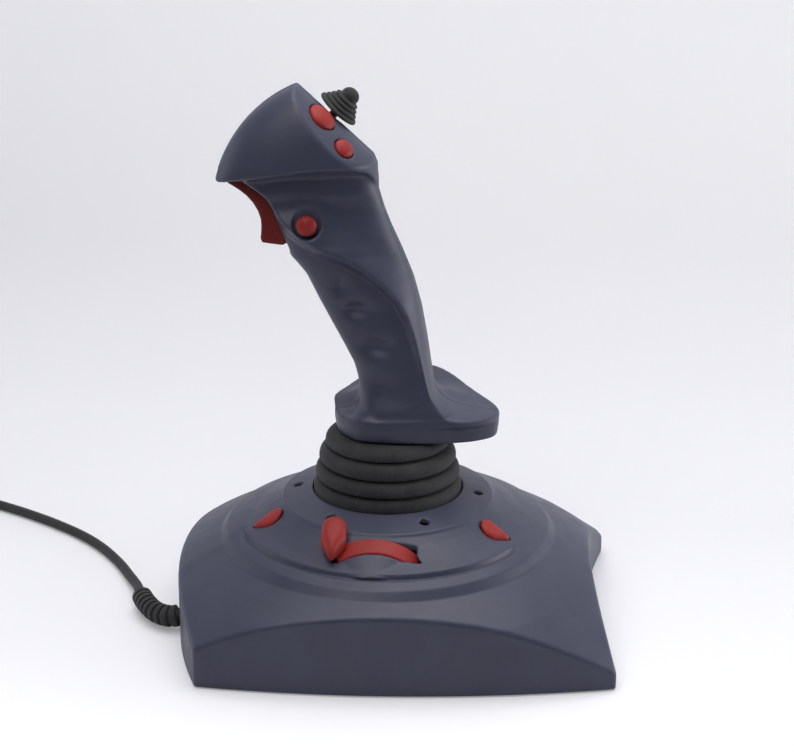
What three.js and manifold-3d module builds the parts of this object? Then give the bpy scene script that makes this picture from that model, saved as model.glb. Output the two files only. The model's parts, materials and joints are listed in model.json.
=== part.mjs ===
// Flight joystick: a broad domed base, a rubber bellows, and a tall pistol-grip handle.
// Frame: +X to the user's right, +Y away from the user, +Z up, millimetres. The origin is on the flat
// underside of the base pan, straight below the point where the stick's two tilt axes cross. The pieces
// are drawn with heights above the table, and the whole object is lowered by the pan's height at the end.

import * as THREE from 'three';
import { mergeVertices } from 'three/addons/utils/BufferGeometryUtils.js';
import Module from 'manifold-3d';

const wasm = await Module();
wasm.setup();

// ---------------------------------------------------------------- driving dimensions

const GAP = 0.4;                  // clearance between neighbouring pieces
const WALL = 2.6;                 // thickness of the moulded shells
const FAR = 300;                  // reach of a cutting block

const BASE_BOTTOM = 0.6;          // underside of the cover's rim
const FRONT_CORNER = [79.7, 79.8];
const REAR_CORNER = [72.2, -101.3];
const FRONT_BULGE = 15;
const SIDE_BULGE = 7.5;
const REAR_HOLLOW = -9.5;         // the rear edge curves inwards
// Height of the cover above the table at a distance from the stick's axis.
const DOME = [
  [31, 64.9], [33.5, 63.9], [47.6, 59.9], [48.8, 59], [66.4, 48.9], [73, 45.3], [77.3, 40.6],
  [84, 37.9], [90, 35], [96, 31.6], [102, 27.3], [109, 21.9], [117, 15.9], [124, 9.8], [134, 1],
];
const DOME_DROP = 3.1;            // height lost between the cover's top and its underside

const PAN_BOTTOM = 2.4;
const PAN_TOP = 5.2;
const FOOT_PLACES = [[62, 62], [-62, 62], [58, -82], [-58, -82]];
const FOOT_RADIUS = 8;
const PAN_SCREW_PLACES = [[56, 44], [-56, 44], [50, -66], [-50, -66]];

const GIMBAL_Z = 42;              // height at which the two tilt axes cross
const RING_SCREW_RADIUS = 41;
const RING_SCREW_TURN = 26;       // degrees from +X to the first of the six screws
const OPENING_RADIUS = 34.2;

const THROTTLE_X = -54;           // middle of the throttle drum
const THROTTLE_AXIS = [3.5, 30.1];
const DRUM_RADIUS = 29.3;         // at the drum's right-hand edge
const DRUM_TAPER = 3.7;           // how much smaller the drum is at its left-hand edge
const DRUM_WIDTH = 7;
const KNOB_TILT = 0.45;           // the knob slopes as the cover does
const KNOB_LEAN = 3;              // degrees the knob leans back
const KNOB_ANGLE = 33;            // degrees forward of straight up, with the throttle fully forward

const BASE_BUTTONS = {
  front: { centre: [-20.3, 53.3], heading: 93 },
  rear: { centre: [-28.2, -49.7], heading: 270 },
};
const BUTTON_LENGTH = 14;
const BUTTON_WIDTH = 9.2;
const BUTTON_RISE = 1.6;

const PALM_CENTRE = [12, -12];   // middle of the palm rest
// Reach of the palm rest from its middle, every 15 degrees from +X towards +Y.
const PALM_REACH = [
  32.6, 33.8, 34.1, 33.8, 33.9, 34.7, 36.2, 37.6, 38.4, 37.8, 35.4, 32.4,
  31.1, 31.6, 34, 38, 41.1, 38.8, 32.8, 29.3, 27.8, 27.8, 29.1, 30.9,
];
const PALM_BOTTOM = 91;
const PALM_TOP = 100;
const PALM_LIFT = 7;              // how far the rest's right-hand edge climbs

const FACE_CENTRE = [22.1, 232.1];  // y and z of the middle of the sloping face
const FACE_SLOPE = 42.7;            // degrees
const FACE_CROWN_RADIUS = 28;
const HEAD_ARC_CENTRE = [16.2, 191.6];
const HEAD_ARC_RADIUS = 60;

const HAT_PLACE = [7.3, 1.5];     // across and up the face
const HAT_RADIUS = 9.8;
const HAT_HEIGHT = 12;
const HAT_LIFT = 2.7;             // gap below the cap, so that it can tilt
const LARGE_BUTTON = { place: [-8.2, 5.3], radius: 6.4 };
const SMALL_BUTTON = { place: [-14.2, -9.9], radius: 4.4 };
const THUMB_BUTTON = [33.8, 188.9];
const THUMB_RADIUS = 4.5;
const THUMB_WELL_RADIUS = 6.1;
const THUMB_FACE_X = -17;
const TRIGGER_CAVITY = [36, 174.6, 80, 214.5];  // lowest y and z, highest y and z of the trigger's room

const TRIGGER_PIVOT = [57.5, 209];
const TRIGGER_WIDTH = 10;
const HANDLE_SCREW_PLACES = [[6, 150], [18, 186], [44, 223]];
const SHAFT_RADIUS = 8;
const SHAFT_BORE = 4.5;
const SHAFT_BOTTOM = 31;
const SHAFT_TOP = 138;

const CABLE_RADIUS = 2.3;
const CABLE_EXIT = [-24, 92.2, 9.4];

// ---------------------------------------------------------------- materials

function plastic(colour, roughness = 0.55, metalness = 0) {
  return new THREE.MeshStandardMaterial({ color: colour, roughness, metalness });
}
const SLATE = () => plastic(0x4b4d5a, 0.5);
const RED = () => plastic(0xa63d38, 0.45);
const TRIGGER_RED = () => plastic(0x7a2f2a, 0.5);
const RUBBER = () => plastic(0x2b2b2c, 0.85);
const BLACK = () => plastic(0x1c1c1e, 0.6);
const STEEL = () => plastic(0xb4b6ba, 0.35, 1);
const BOARD = () => plastic(0x2f5a3a, 0.6);
const NYLON = () => plastic(0xd9d6cb, 0.5);

// ---------------------------------------------------------------- solids and placing

function solid(geometry) {
  const bare = geometry.clone();
  for (const name of Object.keys(bare.attributes)) {
    if (name !== 'position') bare.deleteAttribute(name);
  }
  const merged = mergeVertices(bare, 1e-4);
  const kept = [];
  const index = merged.index.array;
  for (let i = 0; i < index.length; i += 3) {
    const [a, b, c] = [index[i], index[i + 1], index[i + 2]];
    if (a !== b && b !== c && a !== c) kept.push(a, b, c);
  }
  const vertProperties = new Float32Array(merged.attributes.position.array);
  return new wasm.Manifold(new wasm.Mesh({ numProp: 3, vertProperties, triVerts: new Uint32Array(kept) }));
}

function geometryOf(body) {
  const mesh = body.getMesh();
  const geometry = new THREE.BufferGeometry();
  geometry.setAttribute('position', new THREE.BufferAttribute(new Float32Array(mesh.vertProperties), 3));
  geometry.setIndex(new THREE.BufferAttribute(new Uint32Array(mesh.triVerts), 1));
  geometry.computeVertexNormals();
  return geometry;
}

function joined(...bodies) {
  return bodies.reduce((sum, body) => sum.add(body));
}

// The largest piece of a cut body, without the slivers that a grazing cut leaves.
function mainBody(body) {
  return body.decompose().reduce((best, piece) => (piece.volume() > best.volume() ? piece : best));
}

const object = new THREE.Group();

function addPart(name, shape, material, parent = object) {
  const geometry = shape.isBufferGeometry ? shape : geometryOf(shape);
  const mesh = new THREE.Mesh(geometry, material);
  mesh.name = name;
  parent.add(mesh);
  return mesh;
}

const TURN_TO = {
  x: new THREE.Matrix4().makeRotationY(Math.PI / 2),
  y: new THREE.Matrix4().makeRotationX(-Math.PI / 2),
  z: new THREE.Matrix4(),
};

// A round bar from a start point along one axis.
function bar(radius, length, start, along = 'z', segments = 16) {
  const geometry = new THREE.CylinderGeometry(radius, radius, length, segments);
  geometry.rotateX(Math.PI / 2).translate(0, 0, length / 2);
  return geometry.applyMatrix4(TURN_TO[along]).translate(...start);
}

function block(low, high) {
  const size = low.map((value, i) => high[i] - value);
  const geometry = new THREE.BoxGeometry(...size);
  return geometry.translate(...low.map((value, i) => value + size[i] / 2));
}

// A turned shape about the z axis, from [radius, height] points.
function turned(points, segments = 48) {
  const profile = points.map(([radius, height]) => new THREE.Vector2(radius, height));
  return new THREE.LatheGeometry(profile, segments).rotateX(Math.PI / 2);
}

// A ring-shaped or solid turned shape whose profile closes on itself.
function turnedLoop(points, segments = 48) {
  return turned([...points, points[0]], segments);
}

// A flat outline in x and y, raised from one height to another.
function raised(points, bottom, top) {
  const shape = new THREE.Shape(points.map(([x, y]) => new THREE.Vector2(x, y)));
  const geometry = new THREE.ExtrudeGeometry(shape, { depth: top - bottom, bevelEnabled: false });
  return geometry.translate(0, 0, bottom);
}

// A side outline in y and z, stretched across x.
function acrossX(points, left, right) {
  const geometry = raised(points, left, right);
  const swap = new THREE.Matrix4().set(0, 0, 1, 0, 1, 0, 0, 0, 0, 1, 0, 0, 0, 0, 0, 1);
  return geometry.applyMatrix4(swap);
}

// Points of the circular arc from a to b that bulges to the right of the direction of travel.
function arcPoints(a, b, bulge, steps) {
  const half = Math.hypot(b[0] - a[0], b[1] - a[1]) / 2;
  const along = [(b[0] - a[0]) / (2 * half), (b[1] - a[1]) / (2 * half)];
  const points = [];
  for (let i = 0; i < steps; i += 1) {
    const t = -1 + (2 * i) / steps;
    const out = bulge * (1 - t * t);
    points.push([
      (a[0] + b[0]) / 2 + along[0] * half * t + along[1] * out,
      (a[1] + b[1]) / 2 + along[1] * half * t - along[0] * out,
    ]);
  }
  return points;
}

// A round wire or cord along a smooth curve through the given points.
function cord(points, radius, steps, sides = 8) {
  const path = new THREE.CatmullRomCurve3(points.map((p) => new THREE.Vector3(...p)));
  return cordAlong(path, radius, steps, sides);
}

function cordAlong(path, radius, steps, sides) {
  const section = [];
  for (let i = 0; i < sides; i += 1) {
    const angle = (2 * Math.PI * i) / sides;
    section.push(new THREE.Vector2(radius * Math.cos(angle), radius * Math.sin(angle)));
  }
  const options = { steps, bevelEnabled: false, extrudePath: path };
  return new THREE.ExtrudeGeometry(new THREE.Shape(section), options);
}

class Coil extends THREE.Curve {
  constructor(radius, pitch, turns) {
    super();
    Object.assign(this, { radius, pitch, turns });
  }

  getPoint(t, target = new THREE.Vector3()) {
    const angle = 2 * Math.PI * this.turns * t;
    const height = this.pitch * this.turns * t;
    return target.set(this.radius * Math.cos(angle), this.radius * Math.sin(angle), height);
  }
}

function coil(radius, wire, pitch, turns, stepsPerTurn = 10) {
  return cordAlong(new Coil(radius, pitch, turns), wire, Math.round(turns * stepsPerTurn), 5);
}

// A closed skin through rings that all have the same number of points.
function loft(rings) {
  const count = rings[0].length;
  const points = rings.flat();
  const index = [];
  for (let r = 0; r + 1 < rings.length; r += 1) {
    for (let i = 0; i < count; i += 1) {
      const [a, b] = [r * count + i, r * count + ((i + 1) % count)];
      index.push(a, b, b + count, a, b + count, a + count);
    }
  }
  const last = (rings.length - 1) * count;
  for (let i = 1; i + 1 < count; i += 1) {
    index.push(0, i + 1, i);
    index.push(last, last + i, last + i + 1);
  }
  const geometry = new THREE.BufferGeometry();
  const positions = points.flatMap((p) => [p.x, p.y, p.z]);
  geometry.setAttribute('position', new THREE.Float32BufferAttribute(positions, 3));
  geometry.setIndex(index);
  return geometry;
}

// ---------------------------------------------------------------- base shapes

function baseOutline(inset) {
  const [fx, fy] = [FRONT_CORNER[0] - inset, FRONT_CORNER[1] - inset];
  const [rx, ry] = [REAR_CORNER[0] - inset, REAR_CORNER[1] + inset];
  return [
    ...arcPoints([rx, ry], [fx, fy], SIDE_BULGE, 6),
    ...arcPoints([fx, fy], [-fx, fy], FRONT_BULGE, 8),
    ...arcPoints([-fx, fy], [-rx, ry], SIDE_BULGE, 6),
    ...arcPoints([-rx, ry], [rx, ry], REAR_HOLLOW, 6),
  ];
}

function domeSolid(lift, segments) {
  const lifted = DOME.map(([radius, height]) => [radius, height + lift]);
  const profile = [[0, -10], [DOME.at(-1)[0], -10], ...lifted.reverse(), [0, 66 + lift]];
  return solid(turned(profile, segments));
}

// A drop-shaped outline: round at one end and pointed at the other, pointing along the heading.
function dropOutline([cx, cy], heading, length, width) {
  const turn = (heading * Math.PI) / 180;
  const points = [];
  const steps = 18;
  for (let i = 0; i < steps; i += 1) {
    const t = (2 * Math.PI * i) / steps;
    const along = (length / 2) * Math.cos(t);
    const across = (width / 2) * Math.sin(t) * (1 - 0.42 * Math.cos(t)) * 1.08;
    points.push([
      cx + along * Math.cos(turn) - across * Math.sin(turn),
      cy + along * Math.sin(turn) + across * Math.cos(turn),
    ]);
  }
  return points;
}

function ringScrewPlaces() {
  return [0, 1, 2, 3, 4, 5].map((i) => {
    const angle = ((RING_SCREW_TURN + 60 * i) * Math.PI) / 180;
    return [RING_SCREW_RADIUS * Math.cos(angle), RING_SCREW_RADIUS * Math.sin(angle)];
  });
}

// The cover swells up to the slot's near side like a cone about the throttle's axle.
function throttleCheek() {
  const [y, z] = THROTTLE_AXIS;
  const inner = THROTTLE_X - DRUM_WIDTH / 2 - GAP;
  const [thickness, bottom, slope] = [7.2, 47.5, 0.78];
  const radius = DRUM_RADIUS - DRUM_TAPER - 0.3;
  const cone = new THREE.CylinderGeometry(radius, radius - slope * thickness, thickness, 64);
  cone.rotateZ(-Math.PI / 2).translate(inner - thickness / 2, y, z);
  return solid(cone).intersect(solid(block([-FAR, -FAR, bottom], [FAR, FAR, FAR])));
}

function makeBaseCover() {
  const outside = domeSolid(0, 42).intersect(solid(raised(baseOutline(0), BASE_BOTTOM, 90)));
  const hollow = domeSolid(-DOME_DROP, 24).intersect(solid(raised(baseOutline(WALL), -5, 90)));
  let cover = outside.subtract(hollow);
  for (const [x, y] of PAN_SCREW_PLACES) {
    const post = solid(bar(4.2, 50, [x, y, 8.1], 'z', 12)).intersect(outside);
    cover = cover.add(post).subtract(solid(bar(1.7, 16, [x, y, 5], 'z', 8)));
  }
  cover = cover.add(throttleCheek());
  cover = cover.subtract(solid(bar(OPENING_RADIUS, 40, [0, 0, 40], 'z', 48)));
  for (const [x, y] of ringScrewPlaces()) {
    cover = cover.subtract(solid(bar(2.4, 20, [x, y, 50], 'z', 10)));
  }
  for (const { centre, heading } of Object.values(BASE_BUTTONS)) {
    const hole = dropOutline(centre, heading, BUTTON_LENGTH + 2 * GAP, BUTTON_WIDTH + 2 * GAP);
    cover = cover.subtract(solid(raised(hole, 35, 80)));
  }
  const side = DRUM_WIDTH / 2 + GAP;
  const [slotRear, slotFront] = [-15.4, 22.8];
  cover = cover.subtract(solid(block([THROTTLE_X - side, slotRear, 40], [THROTTLE_X + side, slotFront, 80])));
  // The drum's rim runs on under the cover behind the slot.
  const rimRoom = solid(bar(DRUM_RADIUS + GAP, 2 * side, [THROTTLE_X - side, ...THROTTLE_AXIS], 'x', 48));
  cover = cover.subtract(rimRoom.intersect(solid(block([-FAR, -FAR, -FAR], [FAR, 0, FAR]))));
  const [x, , z] = CABLE_EXIT;
  return cover.subtract(solid(bar(4, 20, [x, CABLE_EXIT[1] - 10, z], 'y', 12)));
}

function makeBasePan() {
  let pan = solid(raised(baseOutline(WALL + GAP), PAN_BOTTOM, PAN_TOP));
  for (const [x, y] of PAN_SCREW_PLACES) {
    pan = pan.add(solid(bar(5.5, 5.3, [x, y, PAN_BOTTOM], 'z', 12)));
    pan = pan.subtract(solid(bar(3.7, 2.8, [x, y, PAN_BOTTOM - 0.2], 'z', 12)));
    pan = pan.subtract(solid(bar(1.8, 10, [x, y, PAN_BOTTOM], 'z', 8)));
  }
  for (const [x, y] of FOOT_PLACES) {
    pan = pan.subtract(solid(bar(FOOT_RADIUS + GAP, 1.4, [x, y, PAN_BOTTOM - 0.6], 'z', 20)));
  }
  for (const { centre: [x, y] } of Object.values(BASE_BUTTONS)) {
    pan = pan.add(solid(block([x - 4, y - 4, PAN_BOTTOM + 1], [x + 4, y + 4, SWITCH_BOARD_BOTTOM - GAP])));
  }
  const [x, y] = CABLE_EXIT;
  return pan.subtract(solid(block([x - 7, y - 8, PAN_BOTTOM + 1], [x + 7, FAR, PAN_TOP + 1])));
}

// A cheese-head screw pointing along -z or +z from the underside of its head.
function makeScrew([x, y, z], headRadius, headHeight, shankRadius, length, point = -1) {
  const head = bar(headRadius, headHeight, [x, y, point < 0 ? z : z - headHeight], 'z', 10);
  const shank = bar(shankRadius, length + 0.1, [x, y, point < 0 ? z - length : z - 0.1], 'z', 6);
  const slot = block([x - headRadius, y - 0.4, 0], [x + headRadius, y + 0.4, 0.7]);
  slot.translate(0, 0, point < 0 ? z + headHeight - 0.6 : z - headHeight - 0.1);
  return joined(solid(head), solid(shank)).subtract(solid(slot));
}

// ---------------------------------------------------------------- boards and switches in the base

const SWITCH_BOARD_BOTTOM = 36;
const SWITCH_BOARD_TOP = 37.6;
const BASE_SWITCH_HEIGHT = 5;
const BUTTON_FOOT = 44.6;         // underside of a base button's flange

function makeBaseButton({ centre, heading }) {
  const body = solid(raised(dropOutline(centre, heading, BUTTON_LENGTH, BUTTON_WIDTH), BUTTON_FOOT, 80));
  const flange = dropOutline(centre, heading, BUTTON_LENGTH + 1, BUTTON_WIDTH + 3);
  const skirt = solid(raised(flange, BUTTON_FOOT, BUTTON_FOOT + 1.2));
  return body.intersect(domeSolid(BUTTON_RISE, 48)).add(skirt);
}

function addBaseElectronics() {
  for (const [name, { centre: [x, y] }] of Object.entries(BASE_BUTTONS)) {
    const board = block([x - 11, y - 7, SWITCH_BOARD_BOTTOM], [x + 11, y + 7, SWITCH_BOARD_TOP]);
    addPart(`${name}_switch_board`, board, BOARD());
    const foot = SWITCH_BOARD_TOP + GAP;
    const housing = block([x - 3, y - 3, foot], [x + 3, y + 3, foot + BASE_SWITCH_HEIGHT - 1.5]);
    const plunger = bar(1.7, 1.6, [x, y, foot + BASE_SWITCH_HEIGHT - 1.6], 'z', 10);
    addPart(`${name}_switch`, joined(solid(housing), solid(plunger)), BLACK());
  }
  const boardTop = 9.6;
  let board = solid(block([-8, -84, 8], [40, -44, boardTop]));
  for (const x of [-4, 36]) {
    board = board.subtract(solid(bar(1.7, 4, [x, -63, 7], 'z', 8)));
  }
  addPart('main_board', board, BOARD());
  addPart('controller_chip', block([4, -68, boardTop + 0.3], [24, -60, boardTop + 3.3]), BLACK());
  addPart('wire_socket', block([14, -56, boardTop + 0.3], [28, -49, boardTop + 7]), NYLON());
}

// ---------------------------------------------------------------- throttle

// Part of a ring about the throttle's axle, between two angles forward of straight up.
function drumSector(inner, outer, from, to, left, right) {
  const outline = [];
  const step = 7;
  const steps = Math.ceil((to - from) / step);
  const rim = (radius, i) => {
    const angle = ((from + ((to - from) * i) / steps) * Math.PI) / 180;
    return [radius * Math.sin(angle), radius * Math.cos(angle)];
  };
  for (let i = 0; i <= steps; i += 1) outline.push(rim(outer, i));
  for (let i = steps; i >= 0; i -= 1) outline.push(rim(inner, i));
  return acrossX(outline, left, right);
}

// Narrows a drum sector towards its left-hand side.
function tapered(geometry, left, right) {
  const position = geometry.getAttribute('position');
  for (let i = 0; i < position.count; i += 1) {
    const share = (right - position.getX(i)) / (right - left);
    const factor = 1 - (share * DRUM_TAPER) / DRUM_RADIUS;
    position.setY(i, position.getY(i) * factor).setZ(i, position.getZ(i) * factor);
  }
  return geometry;
}

function makeThrottleKnob() {
  const [middle, length, width] = [-53.6, 16.4, 11.6];
  const outline = dropOutline([middle, 0], 180, length, width);
  const levels = [[0, 0.62], [2.2, 0.96], [5.2, 1], [7.8, 0.88], [9.3, 0.56]];
  const rings = levels.map(([height, size]) => outline.map(([x, y]) => {
    const inwards = x - middle;
    const lift = height * (1 + 0.018 * inwards) + KNOB_TILT * inwards;
    return new THREE.Vector3(middle + inwards * size, y * size, lift);
  }));
  return loft(rings).rotateX((KNOB_LEAN * Math.PI) / 180);
}

function addThrottle() {
  const group = new THREE.Group();
  group.position.set(0, ...THROTTLE_AXIS);
  object.add(group);
  const half = DRUM_WIDTH / 2;
  // The drum's rim is lower in front of the knob, so that the slot can end under the knob.
  const [bandFrom, bandStep, bandTo] = [-44, KNOB_ANGLE + 5, 88];
  const lowRadius = DRUM_RADIUS - 3;
  const axleRadius = 2;
  const [left, right] = [THROTTLE_X - half, THROTTLE_X + half];
  const band = tapered(drumSector(lowRadius - 2, DRUM_RADIUS, bandFrom, bandStep, left, right), left, right);
  const lowDrum = drumSector(lowRadius - 2, lowRadius, bandStep - 1, bandTo, left, right);
  const lowBand = tapered(lowDrum, left, right);
  const webRadius = lowRadius - 1 - DRUM_TAPER / 2;
  const web = drumSector(3, webRadius, bandFrom, bandTo, THROTTLE_X - 1.2, THROTTLE_X + 1.2);
  const hub = bar(5, DRUM_WIDTH, [THROTTLE_X - half, 0, 0], 'x', 16);
  const bore = bar(axleRadius + GAP, 20, [THROTTLE_X - 10, 0, 0], 'x', 12);
  const turn = (KNOB_ANGLE * Math.PI) / 180;
  const seat = DRUM_RADIUS - 0.2;
  const neck = bar(3, 5, [0, 0, DRUM_RADIUS - 1], 'z', 12);
  neck.applyMatrix4(new THREE.Matrix4().makeRotationX(-turn)).translate(THROTTLE_X, 0, 0);
  const knob = makeThrottleKnob().translate(0, seat * Math.sin(turn), seat * Math.cos(turn));
  // The knob rides over the cheek beside the drum, and only its tip hangs down outside the cheek.
  const cheekRoom = bar(DRUM_RADIUS + 0.3, 40, [left - GAP - 2.2, 0, 0], 'x', 40);
  // Its right-hand end is hollowed underneath, to pass over the cover where that is higher behind.
  const domeRoom = new THREE.CylinderGeometry(37.8, 32, 7, 48);
  domeRoom.rotateZ(-Math.PI / 2).translate(right + 3.5, 0, 0);
  const clearKnob = solid(knob).subtract(solid(cheekRoom)).subtract(solid(domeRoom));
  const solids = [band, lowBand, web, hub, neck].map(solid);
  const lever = joined(...solids, clearKnob).subtract(solid(bore));
  addPart('throttle_lever', lever, RED(), group);
  addPart('throttle_axle', bar(axleRadius, 22, [THROTTLE_X - 9, 0, 0], 'x', 12), STEEL(), group);

  const [y, z] = THROTTLE_AXIS;
  const plateThickness = 2.4;
  const plates = [THROTTLE_X - half - 1.2 - plateThickness, THROTTLE_X + half + 1.2];
  let bracket = solid(block([plates[0], y - 11, PAN_TOP + GAP], [plates[1] + plateThickness, y + 11, 8.4]));
  for (const x of plates) {
    bracket = bracket.add(solid(block([x, y - 7, 6], [x + plateThickness, y + 7, z + 5])));
  }
  bracket = bracket.subtract(solid(bar(axleRadius + GAP, 30, [THROTTLE_X - 15, y, z], 'x', 12)));
  addPart('throttle_bracket', bracket, BLACK());
  const potStart = plates[1] + plateThickness + 0.3;
  addPart('throttle_pot', makePot([potStart, y, z], 'x', axleRadius + GAP), BLACK());
}

// ---------------------------------------------------------------- gimbal

const TRUNNION_RADIUS = 3;
const FRAME_WALL_X = 31;
const FRAME_WALL_THICKNESS = 4;
const YOKE_HALF = [25, 17];       // half size of the yoke's ring along x and y
const YOKE_BAR = 4;
const YOKE_HALF_HEIGHT = 5;
const POT_RADIUS = 7;
const POT_LENGTH = 6.5;

function makePot(start, along, bore) {
  const body = solid(bar(POT_RADIUS, POT_LENGTH, start, along, 20));
  const before = start.map((value, i) => value - ('xyz'[i] === along ? 1 : 0));
  return body.subtract(solid(bar(bore, POT_LENGTH + 2, before, along, 12)));
}

function addGimbal() {
  const wallTop = 50;
  let frame = solid(block([-42, -20, PAN_TOP + GAP], [42, 20, 8.8]));
  for (const side of [-1, 1]) {
    const edges = [side * FRAME_WALL_X, side * (FRAME_WALL_X + FRAME_WALL_THICKNESS)].sort((a, b) => a - b);
    frame = frame.add(solid(block([edges[0], -12, 8], [edges[1], 12, wallTop])));
  }
  frame = frame.subtract(solid(bar(TRUNNION_RADIUS + GAP, 100, [-50, 0, GIMBAL_Z], 'x', 16)));
  frame = frame.subtract(solid(bar(14, 10, [0, 0, 4], 'z', 24)));
  addPart('gimbal_frame', frame, BLACK());
  const potStart = FRAME_WALL_X + FRAME_WALL_THICKNESS + 0.3;
  addPart('pitch_pot', makePot([potStart, 0, GIMBAL_Z], 'x', TRUNNION_RADIUS + GAP), BLACK());

  const [hx, hy] = YOKE_HALF;
  const bottom = GIMBAL_Z - YOKE_HALF_HEIGHT;
  const top = GIMBAL_Z + YOKE_HALF_HEIGHT;
  let yoke = solid(block([-hx, -hy, bottom], [hx, hy, top]));
  yoke = yoke.subtract(solid(block([-hx + YOKE_BAR, -hy + YOKE_BAR, 0], [hx - YOKE_BAR, hy - YOKE_BAR, 90])));
  yoke = yoke.add(solid(bar(TRUNNION_RADIUS, 41 - hx + 1, [hx - 1, 0, GIMBAL_Z], 'x', 16)));
  yoke = yoke.add(solid(bar(TRUNNION_RADIUS, 36 - hx + 1, [-36, 0, GIMBAL_Z], 'x', 16)));
  yoke = yoke.subtract(solid(bar(TRUNNION_RADIUS + GAP, 60, [0, -30, GIMBAL_Z], 'y', 16)));
  addPart('gimbal_yoke', yoke, NYLON());
  addPart('roll_pot', makePot([0, hy + 0.3, GIMBAL_Z], 'y', TRUNNION_RADIUS + GAP), BLACK());

  const springRadius = 4.6;
  const wire = 0.6;
  const turns = 3;
  const pitch = coil(springRadius, wire, 1.5, turns).applyMatrix4(TURN_TO.x);
  addPart('pitch_spring', pitch.translate(hx + 0.8, 0, GIMBAL_Z), STEEL());
  const roll = coil(springRadius, wire, 1.5, turns).applyMatrix4(TURN_TO.y);
  addPart('roll_spring', roll.translate(0, -hy - 5.6, GIMBAL_Z), STEEL());
}

function makeStickShaft() {
  const hub = block([-11, -12, GIMBAL_Z - 7], [11, 12, GIMBAL_Z + 7]);
  const tube = bar(SHAFT_RADIUS, SHAFT_TOP - SHAFT_BOTTOM, [0, 0, SHAFT_BOTTOM], 'z', 24);
  const pins = bar(TRUNNION_RADIUS, 44, [0, -23, GIMBAL_Z], 'y', 16);
  const shaft = joined(solid(hub), solid(tube), solid(pins));
  return shaft.subtract(solid(bar(SHAFT_BORE, 200, [0, 0, 0], 'z', 16)));
}

// ---------------------------------------------------------------- bellows and its clamp ring

function makeBoot() {
  const skin = 1.4;
  // Outer radius and height of the crest of each fold, and of the groove above it.
  const crests = [[33.8, 66.4], [32.9, 72.6], [30.9, 78.6], [28.4, 84.2]];
  const grooves = [[31.1, 69.8], [29.2, 75.9], [27.4, 81.7]];
  const outer = [[33.6, 58.9], [33.6, 63]];
  crests.forEach(([radius, height], i) => {
    outer.push([radius, height]);
    if (grooves[i]) outer.push(grooves[i]);
  });
  outer.push([27.2, 87.2], [25.5, PALM_BOTTOM - GAP]);
  const inner = outer.slice(2).reverse().map(([radius, height]) => [radius - skin, height]);
  inner[0] = [25.5 - skin - 12, PALM_BOTTOM - GAP];
  inner.splice(1, 0, [25.5 - skin - 12, PALM_BOTTOM - GAP - skin], [24.6, PALM_BOTTOM - GAP - skin]);
  const flange = [[32.2, 62], [31, 56.4], [37.2, 56.4], [37.2, 58.9]];
  return turnedLoop([...outer, ...inner, ...flange], 24);
}

function makeBootRing() {
  let ring = solid(turnedLoop([[30.4, 53], [43.2, 53], [43.2, 56], [30.4, 56]], 20));
  for (const [x, y] of ringScrewPlaces()) {
    ring = ring.add(solid(bar(2.8, 3.8, [x, y, 53], 'z', 8)));
    ring = ring.subtract(solid(bar(1.7, 10, [x, y, 50], 'z', 6)));
  }
  return ring;
}

// ---------------------------------------------------------------- handle

// Each station runs from the handle's rear edge to its front edge, in y and z, with the half widths
// to the left and to the right.
const GRIP_STATIONS = [
  { rear: [-19.8, 112], front: [13.2, 112], left: 17, right: 18.5 },
  { rear: [-19.3, 124], front: [15.2, 124], left: 15.6, right: 16.8 },
  { rear: [-17.4, 137], front: [21.6, 137], left: 15.4, right: 16.4 },
  { rear: [-14.4, 152], front: [29.6, 152], left: 15.8, right: 16.6 },
  { rear: [-11, 164], front: [35.6, 165.4], left: 16.6, right: 16.6 },
  { rear: [-6.2, 176], front: [43, 176.6], left: 17.4, right: 16.4 },
  { rear: [-1.6, 187], front: [47.2, 186.6], left: 16.8, right: 15.6 },
  { rear: [2.8, 199.4], front: [51.6, 197.6], left: 14.2, right: 13.8 },
  { rear: [5, 207], front: [58.6, 203.6], left: 13.8, right: 13.8 },
  { rear: [5.4, 210.4], front: [71.4, 205.4], left: 20.6, right: 20.6 },
];

// The head's sections fan from the crease below it to just past the sloping face.
function headStations() {
  const stations = [];
  for (const [angle, rear, half] of [
    [17, [5.2, 212.6], 21.6], [29, [5, 214.8], 21.8], [42, [4.6, 217], 21.6], [56, [4, 219.5], 21.2],
    [70, [2, 223], 20.8],
  ]) {
    const turn = (angle * Math.PI) / 180;
    const reach = angle > 60 ? HEAD_ARC_RADIUS + 4 : HEAD_ARC_RADIUS;
    const front = [HEAD_ARC_CENTRE[0] + reach * Math.cos(turn), HEAD_ARC_CENTRE[1] + reach * Math.sin(turn)];
    stations.push({ rear, front, left: half, right: half });
  }
  return stations;
}

// One ring of the handle's skin; inset pulls it inwards by a wall's thickness.
function stationRing({ rear, front, left, right }, inset, count, squareness = 2.3) {
  const length = Math.hypot(front[0] - rear[0], front[1] - rear[1]);
  const along = [(front[0] - rear[0]) / length, (front[1] - rear[1]) / length];
  const middle = [(front[0] + rear[0]) / 2, (front[1] + rear[1]) / 2];
  const ring = [];
  for (let i = 0; i < count; i += 1) {
    const angle = (2 * Math.PI * (i + 0.5)) / count;
    const power = (value) => Math.sign(value) * Math.abs(value) ** (2 / squareness);
    const forward = power(Math.sin(angle)) * (length / 2 - inset);
    const sideways = power(Math.cos(angle));
    const x = sideways * ((sideways < 0 ? left : right) - inset);
    ring.push(new THREE.Vector3(x, middle[0] + along[0] * forward, middle[1] + along[1] * forward));
  }
  return ring;
}

function palmReach(angle) {
  const place = (angle * PALM_REACH.length) / (2 * Math.PI);
  const before = Math.floor(place);
  const pick = (i) => PALM_REACH[i % PALM_REACH.length];
  return THREE.MathUtils.lerp(pick(before), pick(before + 1), place - before);
}

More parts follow.
